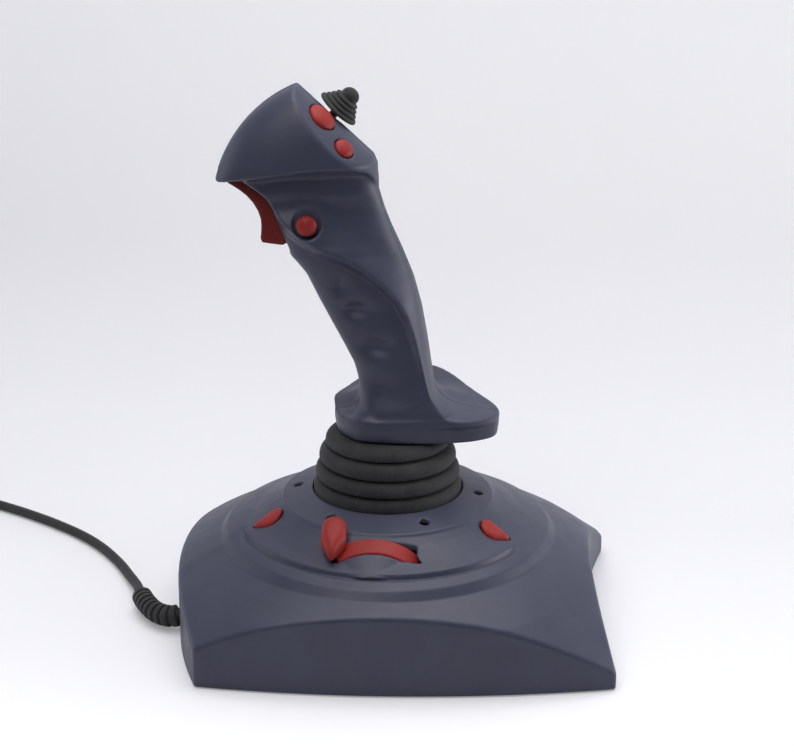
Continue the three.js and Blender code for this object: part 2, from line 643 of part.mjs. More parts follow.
// The palm rest: an oval slab whose top sweeps up into the foot of the grip.
function palmRings(inset, count) {
  const foot = stationRing(GRIP_STATIONS[1], inset, count);
  const levels = [
    { height: PALM_BOTTOM, scale: 0.94, blend: 0 }, { height: PALM_BOTTOM + 1.6, scale: 0.975, blend: 0 },
    { height: PALM_TOP - 1.8, scale: 1, blend: 0 }, { height: PALM_TOP, scale: 0.96, blend: 0 },
    { height: 102.4, scale: 0.9, blend: 0.36 }, { height: 107, scale: 0.9, blend: 0.72 },
    { height: 114, scale: 0.9, blend: 0.93 }, { height: 124, scale: 0.9, blend: 1 },
  ];
  return levels.map(({ height, scale, blend }, i) => {
    const ring = [];
    for (let k = 0; k < count; k += 1) {
      const angle = (2 * Math.PI * (k + 0.5)) / count;
      const reach = palmReach(angle) * scale - inset;
      const x = PALM_CENTRE[0] + Math.cos(angle) * reach;
      const y = PALM_CENTRE[1] + Math.sin(angle) * reach;
      const climb = i < 2 ? 0 : PALM_LIFT * Math.max(0, x / 45) ** 1.5 * (1 - blend);
      const wall = i < 2 ? inset : -0.8 * inset;
      const rim = new THREE.Vector3(x, y, height + climb + wall);
      ring.push(rim.lerp(new THREE.Vector3(foot[k].x, foot[k].y, rim.z), blend));
    }
    return ring;
  });
}

const FACE_TURN = (FACE_SLOPE * Math.PI) / 180;
// Carries the face's own frame (x across, y up the slope, z out of the face) to the object's frame.
const FACE_FRAME = new THREE.Matrix4()
  .makeRotationX(FACE_TURN)
  .setPosition(0, FACE_CENTRE[0], FACE_CENTRE[1]);

// Everything below the crowned face, in the face's frame.
function faceCutter(depth) {
  const [halfWidth, step, reach] = [30, 6, 200];
  const outline = [[-halfWidth, -reach], [halfWidth, -reach]];
  for (let x = halfWidth; x >= -halfWidth; x -= step) {
    outline.push([x, -(x * x) / (2 * FACE_CROWN_RADIUS) - depth]);
  }
  const prism = raised(outline, -reach, reach);
  prism.rotateX(Math.PI / 2);
  return solid(prism.applyMatrix4(FACE_FRAME));
}

function handleBody(inset, count) {
  const stations = [...GRIP_STATIONS, ...headStations()];
  const skin = stations.map((station, i) => stationRing(station, inset, count, i > 8 ? 2.2 : 2.5));
  const column = solid(loft(skin)).intersect(faceCutter(inset));
  return column.add(solid(loft(palmRings(inset, count))));
}

function turnedOnFace([across, up], profile, segments = 18) {
  return turned(profile, segments).applyMatrix4(faceSpot([across, up]));
}

// A frame standing on the crowned face, with z square to the surface there.
function faceSpot([across, up], lean = 1) {
  const tilt = Math.asin(across / FACE_CROWN_RADIUS) * lean;
  const spot = new THREE.Matrix4().makeRotationY(tilt);
  spot.setPosition(across, up, -(across * across) / (2 * FACE_CROWN_RADIUS));
  return FACE_FRAME.clone().multiply(spot);
}

function rodOnFace(place, radius, from, to, segments = 20, lean = 1) {
  return bar(radius, to - from, [0, 0, from], 'z', segments).applyMatrix4(faceSpot(place, lean));
}

const TRIGGER_OUTLINE = [
  [69.4, 204.6], [63.9, 201.1], [58.4, 195.7], [55.3, 189.4], [54.7, 184.6], [55.2, 180.4], [54.5, 177.8],
  [45.4, 176.9], [42.4, 178.6], [42.2, 186], [46, 196], [53.2, 203.6], [53.4, 210.8], [60.6, 212.4],
  [63.4, 208.2],
];

function makeTrigger() {
  const half = TRIGGER_WIDTH / 2;
  const body = solid(acrossX([...TRIGGER_OUTLINE].reverse(), -half, half));
  return body.subtract(solid(bar(1.9, 30, [-15, ...TRIGGER_PIVOT], 'x', 10)));
}

function makeHandleHalves() {
  const count = 22;
  const outside = handleBody(0, count);
  const inside = handleBody(WALL, 14);
  const seat = solid(bar(SHAFT_RADIUS + GAP + 2.6, 32, [0, 0, PALM_BOTTOM], 'z', 24)).intersect(outside);
  const bosses = HANDLE_SCREW_PLACES.map((place) => solid(bar(3.4, 60, [-30, ...place], 'x', 12)));
  const pinBoss = solid(bar(3.6, 60, [-30, ...TRIGGER_PIVOT], 'x', 12));
  const bridges = joined(...bosses, pinBoss).intersect(outside);
  let shell = outside.subtract(inside).add(seat).add(bridges);

  const slot = TRIGGER_WIDTH / 2 + GAP;
  // The room that the trigger sweeps through.
  const [rear, bottom, front, top] = TRIGGER_CAVITY;
  const sweep = [
    [rear, bottom], [rear, bottom + 11.4], [rear + 14, top],
    [front - 14, top], [front, top - 8.1], [front, bottom],
  ];
  shell = shell.subtract(solid(acrossX(sweep, -slot, slot)));
  shell = shell.subtract(solid(bar(SHAFT_RADIUS + GAP, 120, [0, 0, 50], 'z', 24)));
  shell = shell.subtract(solid(bar(1.9, 22, [-11, ...TRIGGER_PIVOT], 'x', 10)));
  for (const place of HANDLE_SCREW_PLACES) {
    shell = shell.subtract(solid(bar(1.7, 20, [-9, ...place], 'x', 8)));
    shell = shell.subtract(solid(bar(3.1, 30, [9.5, ...place], 'x', 12)));
  }
  shell = shell.subtract(solid(bar(THUMB_WELL_RADIUS, 20, [-20 - 13.4, ...THUMB_BUTTON], 'x', 20)));
  shell = shell.subtract(solid(bar(3.4, 20, [-22, ...THUMB_BUTTON], 'x', 12)));
  shell = shell.subtract(solid(rodOnFace(HAT_PLACE, 4.6, -12, 6, 16, 0)));
  shell = shell.subtract(solid(rodOnFace(LARGE_BUTTON.place, LARGE_BUTTON.radius + GAP, -8, 6)));
  shell = shell.subtract(solid(rodOnFace(SMALL_BUTTON.place, SMALL_BUTTON.radius + GAP, -8, 6)));

  const seam = 0.17;
  const left = mainBody(shell.intersect(solid(block([-FAR, -FAR, 0], [-seam, FAR, FAR]))));
  const right = mainBody(shell.intersect(solid(block([seam, -FAR, 0], [FAR, FAR, FAR]))));
  return { left, right };
}

// ---------------------------------------------------------------- controls on the handle

// A domed cap on a narrow stem that reaches down to the contacts on the head's board.
function domedButton(radius, rise) {
  const [stemRadius, stemEnd, capEnd] = [2, -9.3, -4.2];
  return [
    [0, stemEnd], [stemRadius, stemEnd], [stemRadius, capEnd], [radius, capEnd + 0.4], [radius, 0.2],
    [radius * 0.93, rise * 0.55], [radius * 0.66, rise * 0.88], [0, rise],
  ];
}

function addHandleControls() {
  const large = turnedOnFace(LARGE_BUTTON.place, domedButton(LARGE_BUTTON.radius, 1.5));
  addPart('head_button_large', large, RED());
  const small = turnedOnFace(SMALL_BUTTON.place, domedButton(SMALL_BUTTON.radius, 1.5), 14);
  addPart('head_button_small', small, RED());

  const thumb = turned([
    [0, -7], [3, -7], [3, -1.1], [THUMB_RADIUS, -0.9], [THUMB_RADIUS, 0.8], [THUMB_RADIUS * 0.8, 2], [0, 2.6],
  ], 20);
  thumb.rotateY(-Math.PI / 2).translate(THUMB_FACE_X + 1.2, ...THUMB_BUTTON);
  addPart('thumb_button', thumb, RED());

  addPart('trigger', makeTrigger(), TRIGGER_RED());
  addPart('trigger_pin', bar(1.5, 21, [-10.5, ...TRIGGER_PIVOT], 'x', 10), STEEL());
  const spring = coil(1.9, 0.35, 1.5, 5, 6).applyMatrix4(TURN_TO.y);
  addPart('trigger_spring', spring.translate(0, 33.6, 184.2), STEEL());

  const hatRings = [];
  const ribs = 4;
  for (let i = 0; i < ribs; i += 1) {
    const level = i / ribs;
    const radius = HAT_RADIUS - 5.4 * level;
    hatRings.push([radius, HAT_HEIGHT * 0.8 * level + 0.9], [radius - 1.5, HAT_HEIGHT * 0.8 * level + 1.9]);
  }
  const hat = turned([
    [0, -8.1], [1.9, -8.1], [1.9, 1], [HAT_RADIUS - 1, 0], ...hatRings, [4.3, HAT_HEIGHT - 3],
    [3.8, HAT_HEIGHT - 1], [2, HAT_HEIGHT], [0, HAT_HEIGHT + 0.2],
  ], 16);
  hat.translate(0, 0, HAT_LIFT).applyMatrix4(faceSpot(HAT_PLACE, 0));
  addPart('hat_cap', hat, RUBBER());
  const pivotRing = turnedLoop([[2.4, -6.6], [4.1, -6.6], [4.1, -4.6], [2.4, -4.6]], 20);
  addPart('hat_pivot_ring', pivotRing.applyMatrix4(faceSpot(HAT_PLACE, 0)), NYLON());
}

function addHandleElectronics() {
  const depth = -13.6;
  const board = block([-12.5, -15, depth - 1.6], [13.5, 14, depth]);
  addPart('head_board', board.applyMatrix4(FACE_FRAME), BOARD());
  const [across, up] = HAT_PLACE;
  const hatSwitch = block([across - 5, up - 5, depth + 0.3], [across + 5, up + 5, -9.4]);
  addPart('hat_switch', hatSwitch.applyMatrix4(FACE_FRAME), BLACK());
  const [y, z] = THUMB_BUTTON;
  addPart('thumb_switch', block([-7.6, y - 3, z - 3], [-3.6, y + 3, z + 3]), BLACK());
  addPart('trigger_switch', block([-3, 24, 181], [3, 32.8, 187.4]), BLACK());
  const route = [[0, 0, 34], [0, 0, 90], [0, 0, 140], [0, 8, 168], [0, 14, 190], [0, 20, 208]];
  const wires = cord(route, 1.6, 16, 6);
  addPart('handle_wires', wires, BLACK());
}

// ---------------------------------------------------------------- cable

function makeStrainRelief() {
  const [x, y, z] = CABLE_EXIT;
  const profile = [[CABLE_RADIUS + 0.3, 22]];
  const ribs = 7;
  for (let i = ribs - 1; i >= 0; i -= 1) {
    const radius = 4.4 - 0.16 * i;
    profile.push([radius, 3.4 + i * 2.6 + 1.8], [radius, 3.4 + i * 2.6], [radius - 1, 3.4 + i * 2.6 - 0.4]);
  }
  profile.push([3.6, 2], [3.6, -2.4], [5.6, -2.4], [5.6, -4.4], [CABLE_RADIUS + 0.3, -4.4]);
  const sleeve = turnedLoop(profile.reverse(), 10).applyMatrix4(TURN_TO.y);
  return sleeve.translate(x, y, z);
}

function makeCable() {
  const [x, y, z] = CABLE_EXIT;
  return cord([
    [x, y - 16, z], [x, y - 4, z], [x, y + 10, z], [x, y + 22, z], [x + 1.2, y + 27, z - 0.4],
    [x + 14, y + 32, z - 4.2], [x + 38, y + 36, 2.7], [x + 65, y + 41, 2.6], [x + 94, y + 62, 2.6],
    [x + 117, y + 90, 2.6], [x + 134, y + 122, 2.6],
  ], CABLE_RADIUS, 32, 8);
}

// ---------------------------------------------------------------- assembly

function addBase() {
  addPart('base_cover', makeBaseCover(), SLATE());
  addPart('base_pan', makeBasePan(), SLATE());
  FOOT_PLACES.forEach(([x, y], i) => {
    addPart(`rubber_foot_${i + 1}`, bar(FOOT_RADIUS, 2.9, [x, y, 0], 'z', 20), RUBBER());
  });
  PAN_SCREW_PLACES.forEach(([x, y], i) => {
    addPart(`pan_screw_${i + 1}`, makeScrew([x, y, 4.6], 3.2, 1.5, 1.3, 13, 1), STEEL());
  });
  ringScrewPlaces().forEach(([x, y], i) => {
    addPart(`ring_screw_${i + 1}`, makeScrew([x, y, 57.2], 2, 1.6, 1.3, 6), STEEL());
  });
  addPart('boot_ring', makeBootRing(), BLACK());
  addPart('boot', makeBoot(), RUBBER());
  for (const [name, button] of Object.entries(BASE_BUTTONS)) {
    addPart(`base_button_${name}`, makeBaseButton(button), RED());
  }
  addBaseElectronics();
  addThrottle();
  addGimbal();
  addPart('strain_relief', makeStrainRelief(), RUBBER());
  addPart('cable', makeCable(), RUBBER());
}

function addStick() {
  addPart('stick_shaft', makeStickShaft(), BLACK());
  const { left, right } = makeHandleHalves();
  addPart('handle_left', left, SLATE());
  addPart('handle_right', right, SLATE());
  HANDLE_SCREW_PLACES.forEach(([y, z], i) => {
    const screw = geometryOf(makeScrew([0, 0, 0], 2.6, 1.8, 1.3, 17));
    screw.rotateY(Math.PI / 2).translate(9.9, y, z);
    addPart(`handle_screw_${i + 1}`, screw, STEEL());
  });
  addHandleControls();
  addHandleElectronics();
}

addBase();
addStick();
object.position.z = -PAN_BOTTOM;

export default object;
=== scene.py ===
"""Looks of the flight joystick: shaped shells, rubber bellows, controls, cable, materials, light and camera.

Shapes are worked out in millimetres, with heights above the table, and to_frame() turns them into the
frame's metres. Moulded pieces are level sets: a function gives the distance to the surface on a grid of
points, and surface() turns the zero level into a mesh. Round pieces are turned from a profile.
"""

import functools
import json
import math

import bpy
import numpy as np
import openvdb
from mathutils import Matrix, Vector


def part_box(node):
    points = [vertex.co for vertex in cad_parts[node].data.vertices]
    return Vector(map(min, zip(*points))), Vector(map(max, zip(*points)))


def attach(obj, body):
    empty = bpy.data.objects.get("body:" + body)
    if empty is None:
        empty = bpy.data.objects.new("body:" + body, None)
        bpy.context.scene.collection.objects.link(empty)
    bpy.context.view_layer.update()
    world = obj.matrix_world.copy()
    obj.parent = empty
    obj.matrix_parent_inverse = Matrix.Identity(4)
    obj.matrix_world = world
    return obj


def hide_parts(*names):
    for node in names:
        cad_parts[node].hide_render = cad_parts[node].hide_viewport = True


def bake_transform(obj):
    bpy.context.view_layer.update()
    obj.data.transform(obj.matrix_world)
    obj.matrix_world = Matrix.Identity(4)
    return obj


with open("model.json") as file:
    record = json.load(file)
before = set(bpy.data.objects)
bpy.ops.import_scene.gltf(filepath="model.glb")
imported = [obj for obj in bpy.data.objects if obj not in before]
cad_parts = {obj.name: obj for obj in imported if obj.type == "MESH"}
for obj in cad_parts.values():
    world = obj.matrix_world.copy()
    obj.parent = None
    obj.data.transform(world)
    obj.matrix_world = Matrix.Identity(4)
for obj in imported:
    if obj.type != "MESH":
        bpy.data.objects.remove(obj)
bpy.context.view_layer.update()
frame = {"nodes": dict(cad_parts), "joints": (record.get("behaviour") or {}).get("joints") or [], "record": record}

MM = 1000.0
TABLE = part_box("rubber_foot_1")[0].z * MM          # the table's height in the frame


# ---------- sizes taken from the frame

def from_frame(points):
    """Metres in the frame to millimetres with heights above the table."""
    return np.array(points) * MM - (0, 0, TABLE)


def to_frame(points):
    return (np.array(points, float).reshape(-1, 3) + (0, 0, TABLE)) / MM


def node_box(name):
    """Lowest and highest corner of a CAD node."""
    return [from_frame(corner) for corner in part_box(name)]


def joint_anchor(name):
    return from_frame(next(j for j in frame["joints"] if j["name"] == name)["pos_m"])


WALL = 2.6                       # thickness of the moulded shells
GAP = 0.4                        # room between a piece and the hole that it sits in
THROTTLE_AXIS = joint_anchor("throttle_turn")[1:]
TRIGGER_PIVOT = joint_anchor("trigger_pull")[1:]


# ---------- level sets

def meet(*shapes):
    """What all the shapes share."""
    return functools.reduce(np.maximum, shapes)


def join(*shapes):
    """All the shapes together."""
    return functools.reduce(np.minimum, shapes)


def smooth_min(a, b, k):
    h = np.maximum(k - np.abs(a - b), 0) / k
    return np.minimum(a, b) - h * h * k / 4


def smooth_max(a, b, k):
    return -smooth_min(-a, -b, k)


def cut(shape, tool, soften=0.0):
    """The shape without the tool, with the new edge rounded over about the given width."""
    return smooth_max(shape, -tool, soften) if soften else np.maximum(shape, -tool)


def slab(value, middle, half):
    """Signed distance to a layer on both sides of a middle."""
    return np.abs(value - middle) - half


def smoothstep(low, high, value):
    t = np.clip((value - low) / (high - low), 0, 1)
    return t * t * (3 - 2 * t)


def curve(t, knots, soften=2.0):
    """A smooth curve near the knots: straight pieces averaged over a short stretch on both sides."""
    places, values = zip(*knots)
    total, weight = 0, 0
    for offset in np.linspace(-0.9, 0.9, 7):
        share = 1 + math.cos(math.pi * offset)
        total = total + share * np.interp(t + offset * soften, places, values)
        weight += share
    return (total / weight).astype(np.float32)


def to_segment(u, v, a, b):
    """Share of the way from a to b where the nearest point lies, and the squared distance to it."""
    ex, ey = b[0] - a[0], b[1] - a[1]
    t = np.clip(((u - a[0]) * ex + (v - a[1]) * ey) / (ex * ex + ey * ey), 0, 1)
    return t, (u - a[0] - t * ex) ** 2 + (v - a[1] - t * ey) ** 2


def polygon(u, v, points):
    """Signed distance to a closed outline in the plane of u and v, negative inside."""
    u, v = np.broadcast_arrays(u, v)
    nearest = np.full(u.shape, 1e9, np.float32)
    inside = np.zeros(u.shape, bool)
    for a, b in zip(points, points[1:] + points[:1]):
        nearest = np.minimum(nearest, to_segment(u, v, a, b)[1])
        if a[1] != b[1]:
            crosses = (a[1] > v) != (b[1] > v)
            inside ^= crosses & (u < (b[0] - a[0]) * (v - a[1]) / (b[1] - a[1]) + a[0])
    return (np.sqrt(nearest) * np.where(inside, -1, 1)).astype(np.float32)


def nearest_on(u, v, points):
    """Signed distance to an open line, positive on its left, and the index of the nearest point."""
    best = np.full(np.broadcast(u, v).shape, 1e9, np.float32)
    index = np.zeros(best.shape, np.float32)
    side = np.ones(best.shape, np.float32)
    for i, (a, b) in enumerate(zip(points, points[1:])):
        t, d = to_segment(u, v, a, b)
        closer = d < best
        best = np.where(closer, d, best)
        index = np.where(closer, i + t, index)
        left = (b[0] - a[0]) * (v - a[1]) - (b[1] - a[1]) * (u - a[0]) > 0
        side = np.where(closer, np.where(left, 1, -1), side)
    return np.sqrt(best) * side, index


class Grid:
    """The points of a box, as x, y and z arrays that broadcast against each other."""

    def __init__(self, low, high, voxel):
        self.low, self.voxel = np.array(low, float), voxel
        counts = [int(math.ceil((h - l) / voxel)) + 1 for l, h in zip(low, high)]
        steps = [np.arange(n, dtype=np.float32) * np.float32(voxel) for n in counts]
        axes = [np.float32(l) + s for l, s in zip(low, steps)]
        self.x, self.y, self.z = np.ix_(*axes)
        self.shape = tuple(counts)

    def distance(self, field):
        """A field divided by its slope, which is close to a distance near the zero level."""
        field = np.ascontiguousarray(np.broadcast_to(field, self.shape), np.float32)
        slope = np.zeros(self.shape, np.float32)
        for axis in range(3):
            slope += np.gradient(field, self.voxel, axis=axis) ** 2
        return field / np.sqrt(np.maximum(slope, 1e-6))


def node_grid(name, voxel):
    """A grid round a CAD node."""
    low, high = node_box(name)
    return Grid(low - 1.5, high + 1.5, voxel)


def sample(values, points):
    """Values of a grid at points given in grid steps."""
    base = np.clip(np.floor(points).astype(int), 0, np.array(values.shape) - 2)
    part = (points - base).astype(np.float32)
    total = 0
    for corner in np.ndindex(2, 2, 2):
        share = np.prod(np.where(np.array(corner) == 1, part, 1 - part), axis=1)
        total = total + share * values[tuple((base + corner).T)]
    return total


def settle(values, points):
    """Moves points onto the zero level along its slope."""
    for _ in range(2):
        here = sample(values, points)
        slope = np.stack([
            sample(values, points + 0.5 * step) - sample(values, points - 0.5 * step) for step in np.eye(3)
        ], axis=1)
        move = here[:, None] * slope / np.maximum((slope ** 2).sum(1), 1e-4)[:, None]
        points = points - np.clip(move, -0.4, 0.4)
    return points


def placed(points, placing):
    if placing is None:
        return points
    matrix = np.array(placing)
    return points @ matrix[:3, :3].T + matrix[:3, 3]


def add_object(name, data):
    thing = bpy.data.objects.new(name, data)
    bpy.context.scene.collection.objects.link(thing)
    return thing


def make_mesh(name, points, faces, sharp=None):
    """A smooth-shaded mesh; sharp is the angle, in degrees, above which an edge stays sharp."""
    mesh = bpy.data.meshes.new(name)
    mesh.from_pydata(to_frame(points).tolist(), [], [list(map(int, f)) for f in faces])
    mesh.update()
    for face in mesh.polygons:
        face.use_smooth = True
    if sharp:
        mesh.set_sharp_from_angle(angle=math.radians(sharp))
    return add_object(name, mesh)


def surface(name, grid, field):
    """A mesh of the field's zero level."""
    band = 3 * grid.voxel
    field = np.ascontiguousarray(np.clip(np.broadcast_to(field, grid.shape), -band, band), np.float32)
    volume = openvdb.FloatGrid(background=band)
    volume.copyFromArray(field)
    points, quads = volume.convertToQuads()
    points = settle(field, np.array(points, float))
    a, b, c = (points[quads[:, i]] for i in (0, 1, 2))
    if (np.cross(b - a, c - a) * a).sum() < 0:
        quads = quads[:, ::-1]
    return make_mesh(name, points * grid.voxel + grid.low, quads)


# ---------- turned and swept meshes

def rounded(points, radius, steps=4):
    """A profile with its inner corners rounded."""
    points = [np.array(p, float) for p in points]
    out = [points[0]]
    for before, corner, after in zip(points, points[1:], points[2:]):
        back, on = before - corner, after - corner
        back_length, on_length = np.linalg.norm(back), np.linalg.norm(on)
        reach = min(radius, back_length / 2, on_length / 2)
        start = corner + back / max(back_length, 1e-9) * reach
        end = corner + on / max(on_length, 1e-9) * reach
        for t in np.linspace(0, 1, steps + 1):
            out.append((1 - t) ** 2 * start + 2 * t * (1 - t) * corner + t * t * end)
    out.append(points[-1])
    return out


def dome(radius, base, rise, start=0.12, steps=14):
    """Profile points of a cap: part of an ellipse from its edge up to the axis."""
    angles = np.linspace(start, math.pi / 2, steps)[:-1]
    return [(radius * math.cos(a), base + rise * math.sin(a)) for a in angles] + [(0, base + rise)]


def ring_faces(rings):
    """Faces between neighbouring rings of point numbers; a ring can be one point, repeated."""
    faces = []
    for lower, upper in zip(rings, rings[1:]):
        for i in range(len(lower)):
            j = (i + 1) % len(lower)
            face = [lower[i], lower[j], upper[j], upper[i]]
            kept = [v for k, v in enumerate(face) if v not in face[:k]]
            if len(kept) > 2:
                faces.append(kept)
    return faces


def turned(name, profile, segments, placing=None, closed=False, sharp=35):
    """A closed mesh turned about z from (radius, height) points; an open profile starts and ends on z."""
    rings, points = [], []
    for radius, height in profile:
        if radius < 1e-6:
            rings.append([len(points)] * segments)
            points.append((0, 0, height))
            continue
        rings.append(list(range(len(points), len(points) + segments)))
        for i in range(segments):
            angle = 2 * math.pi * i / segments
            points.append((radius * math.cos(angle), radius * math.sin(angle), height))
    faces = ring_faces(rings + rings[:1] if closed else rings)
    return make_mesh(name, placed(np.array(points), placing), faces, sharp)


def path_points(knots, step):
    """Points at even distances along a smooth curve through the knots."""
    knots = np.array(knots, float)
    padded = np.vstack([2 * knots[0] - knots[1], knots, 2 * knots[-1] - knots[-2]])
    fine = []
    for p0, p1, p2, p3 in zip(padded, padded[1:], padded[2:], padded[3:]):
        for t in np.linspace(0, 1, 24, endpoint=False):
            fine.append(0.5 * (
                2 * p1 + (p2 - p0) * t + (2 * p0 - 5 * p1 + 4 * p2 - p3) * t ** 2
                + (3 * p1 - p0 - 3 * p2 + p3) * t ** 3
            ))
    fine = np.array(fine + [knots[-1]])
    along = np.concatenate([[0], np.cumsum(np.linalg.norm(np.diff(fine, axis=0), axis=1))])
    places = np.linspace(0, along[-1], int(along[-1] / step) + 1)
    return np.stack([np.interp(places, along, fine[:, i]) for i in range(3)], axis=1)


def swept(name, centres, profile, sides):
    """A closed mesh swept along centres; the profile lists (index along the path, radius) in order."""
    tangents = np.gradient(centres, axis=0)
    points, up = [], np.array([0, 0, 1.0])
    for place, radius in profile:
        i = min(int(place), len(centres) - 2)
        part = place - i
        centre = centres[i] * (1 - part) + centres[i + 1] * part
        tangent = tangents[i] * (1 - part) + tangents[i + 1] * part
        tangent = tangent / np.linalg.norm(tangent)
        side = np.cross(tangent, up)
        side = side / np.linalg.norm(side)
        over = np.cross(side, tangent)
        for k in range(sides):
            angle = 2 * math.pi * k / sides
            points.append(centre + radius * (math.cos(angle) * side + math.sin(angle) * over))
    rings = [range(first, first + sides) for first in range(0, len(points), sides)]
    faces = [face[::-1] for face in ring_faces(rings)]
    faces += [list(rings[0]), list(rings[-1])[::-1]]
    return make_mesh(name, points, faces, sharp=35)


# ---------- materials

class Nodes:
    """Shorthand for building the node tree of a material or a world."""

    def __init__(self, owner, shader="Principled BSDF"):
        owner.use_nodes = True
        self.owner, self.tree = owner, owner.node_tree
        self.shader = self.tree.nodes[shader]
        self.texture = self.add("ShaderNodeTexCoord")
        self.place = self.texture.outputs["Object"]

    def set(self, **inputs):
        """Sets the shader's inputs."""
        for key, value in inputs.items():
            self.feed(self.shader.inputs[key.replace("_", " ")], value)

    def add(self, kind, **inputs):
        node = self.tree.nodes.new(kind)
        for key, value in inputs.items():
            self.feed(node.inputs[key.replace("_", " ")], value)
        return node

    def feed(self, socket, value):
        if isinstance(value, bpy.types.NodeSocket):
            self.tree.links.new(value, socket)
        else:
            socket.default_value = value

    def noise(self, size_mm, detail=3.0, roughness=0.55, stretch=None):
        place = self.place
        if stretch:
            place = self.add("ShaderNodeMapping", Vector=place, Scale=stretch).outputs[0]
        scale = MM / size_mm
        node = self.add("ShaderNodeTexNoise", Vector=place, Scale=scale, Detail=detail, Roughness=roughness)
        return node.outputs["Fac"]

    def cells(self, size_mm):
        node = self.add("ShaderNodeTexVoronoi", Vector=self.place, Scale=MM / size_mm)
        return node.outputs["Distance"]

    def ramp(self, value, low, high, low_out=0.0, high_out=1.0):
        node = self.add("ShaderNodeMapRange")
        for key, number in zip(("From Min", "From Max", "To Min", "To Max"), (low, high, low_out, high_out)):
            self.feed(node.inputs[key], number)
        self.feed(node.inputs["Value"], value)
        return node.outputs[0]

    def math(self, operation, a, b):
        node = self.add("ShaderNodeMath")
        node.operation = operation
        for socket, value in zip(node.inputs, (a, b)):
            self.feed(socket, value)
        return node.outputs[0]

    def times(self, a, b):
        return self.math("MULTIPLY", a, b)

    def split(self, vector, axis):
        return self.add("ShaderNodeSeparateXYZ", Vector=vector).outputs[axis]

    def seen(self):
        """1 for what the camera sees directly, 0 for light and reflections."""
        return self.add("ShaderNodeLightPath").outputs["Is Camera Ray"]

    def mix(self, share, a, b):
        """A mix of two colours."""
        node = self.add("ShaderNodeMix")
        node.data_type = "RGBA"
        for index, value in ((0, share), (6, a), (7, b)):
            self.feed(node.inputs[index], value)
        return node.outputs[2]

    def bump(self, height, depth_mm, normal=None):
        node = self.add("ShaderNodeBump", Height=height, Strength=1.0, Distance=depth_mm / MM)
        if normal is not None:
            self.feed(node.inputs["Normal"], normal)
        return node.outputs[0]

    def edges(self):
        """About 1 on sharp outer edges and 0 on flat or hollow places."""
        return self.ramp(self.add("ShaderNodeNewGeometry").outputs["Pointiness"], 0.52, 0.62)


def shade(colour, factor):
    """The colour made lighter or darker: the factor is a number, or one number for each channel."""
    return tuple(min(1.0, c * f) for c, f in zip(colour[:3], np.broadcast_to(factor, 3))) + (1.0,)


def moulded_plastic(n, colour, roughness, grain_mm=0.42, grain_depth=0.035, wear=0.35, tint=1.0, shine=0.5):
    """Spark-textured moulding: fine grain, faint clouds, polished and slightly pale edges, a little dust."""
    colour = shade(colour, tint)
    grain = n.noise(grain_mm, detail=2.0, roughness=0.7)
    pits = n.cells(grain_mm * 1.7)
    cloud = n.noise(26, detail=4.0)
    streaks = n.noise(9, detail=5.0, roughness=0.7, stretch=(1.0, 1.0, 0.35))
    specks = n.ramp(n.noise(0.9, detail=1.0), 0.70, 0.76)
    edge = n.edges()
    tone = n.mix(n.ramp(cloud, 0.35, 0.65), shade(colour, 0.93), shade(colour, 1.07))
    tone = n.mix(n.ramp(streaks, 0.55, 0.75, 0.0, 0.10), tone, shade(colour, 1.35))
    tone = n.mix(n.times(edge, wear), tone, shade(colour, 1.7))
    dusty = tuple(0.6 * c + 0.4 * g for c, g in zip(colour[:3], (0.5, 0.48, 0.45))) + (1.0,)
    tone = n.mix(n.times(specks, 0.12), tone, dusty)
    gloss = n.ramp(streaks, 0.3, 0.7, roughness - 0.05, roughness + 0.06)
    gloss = n.math("SUBTRACT", gloss, n.times(edge, 0.08))
    gloss = n.math("ADD", gloss, n.ramp(grain, 0.3, 0.7, -0.03, 0.03))
    normal = n.bump(pits, grain_depth * 0.7, n.bump(grain, grain_depth))
    n.set(Base_Color=tone, Roughness=gloss, Normal=normal, IOR=1.5, Specular_IOR_Level=shine)


def rubber(n, colour, roughness):
    """Matt rubber: a bloom of pale dust in patches, fine pores and faint rubbed marks."""
    pores = n.noise(0.55, detail=3.0, roughness=0.65)
    bloom = n.noise(7, detail=6.0, roughness=0.7)
    lint = n.ramp(n.noise(1.3, detail=1.0), 0.69, 0.76)
    tone = n.mix(n.ramp(bloom, 0.4, 0.75), shade(colour, 0.85), shade(colour, 1.9))
    tone = n.mix(n.times(lint, 0.10), tone, (0.30, 0.30, 0.27, 1))
    tone = n.mix(n.times(n.edges(), 0.3), tone, shade(colour, 2.2))
    gloss = n.ramp(bloom, 0.3, 0.7, roughness - 0.08, roughness + 0.07)
    normal = n.bump(bloom, 0.12, n.bump(pores, 0.06))
    n.set(Base_Color=tone, Roughness=gloss, Normal=normal, Sheen_Weight=0.08, Sheen_Roughness=0.6)


def metal(n, colour, roughness):
    """Zinc-plated steel: brushed lines, dull blotches and bright edges."""
    lines = n.noise(0.5, detail=3.0, stretch=(1.0, 1.0, 0.08))
    blotch = n.noise(3.5, detail=4.0)
    tone = n.mix(n.ramp(blotch, 0.4, 0.7), shade(colour, 1.0), shade(colour, 0.72))
    tone = n.mix(n.times(n.edges(), 0.5), tone, shade(colour, 1.3))
    gloss = n.ramp(lines, 0.3, 0.7, roughness - 0.08, roughness + 0.14)
    n.set(Base_Color=tone, Roughness=gloss, Normal=n.bump(lines, 0.02), Metallic=1.0)


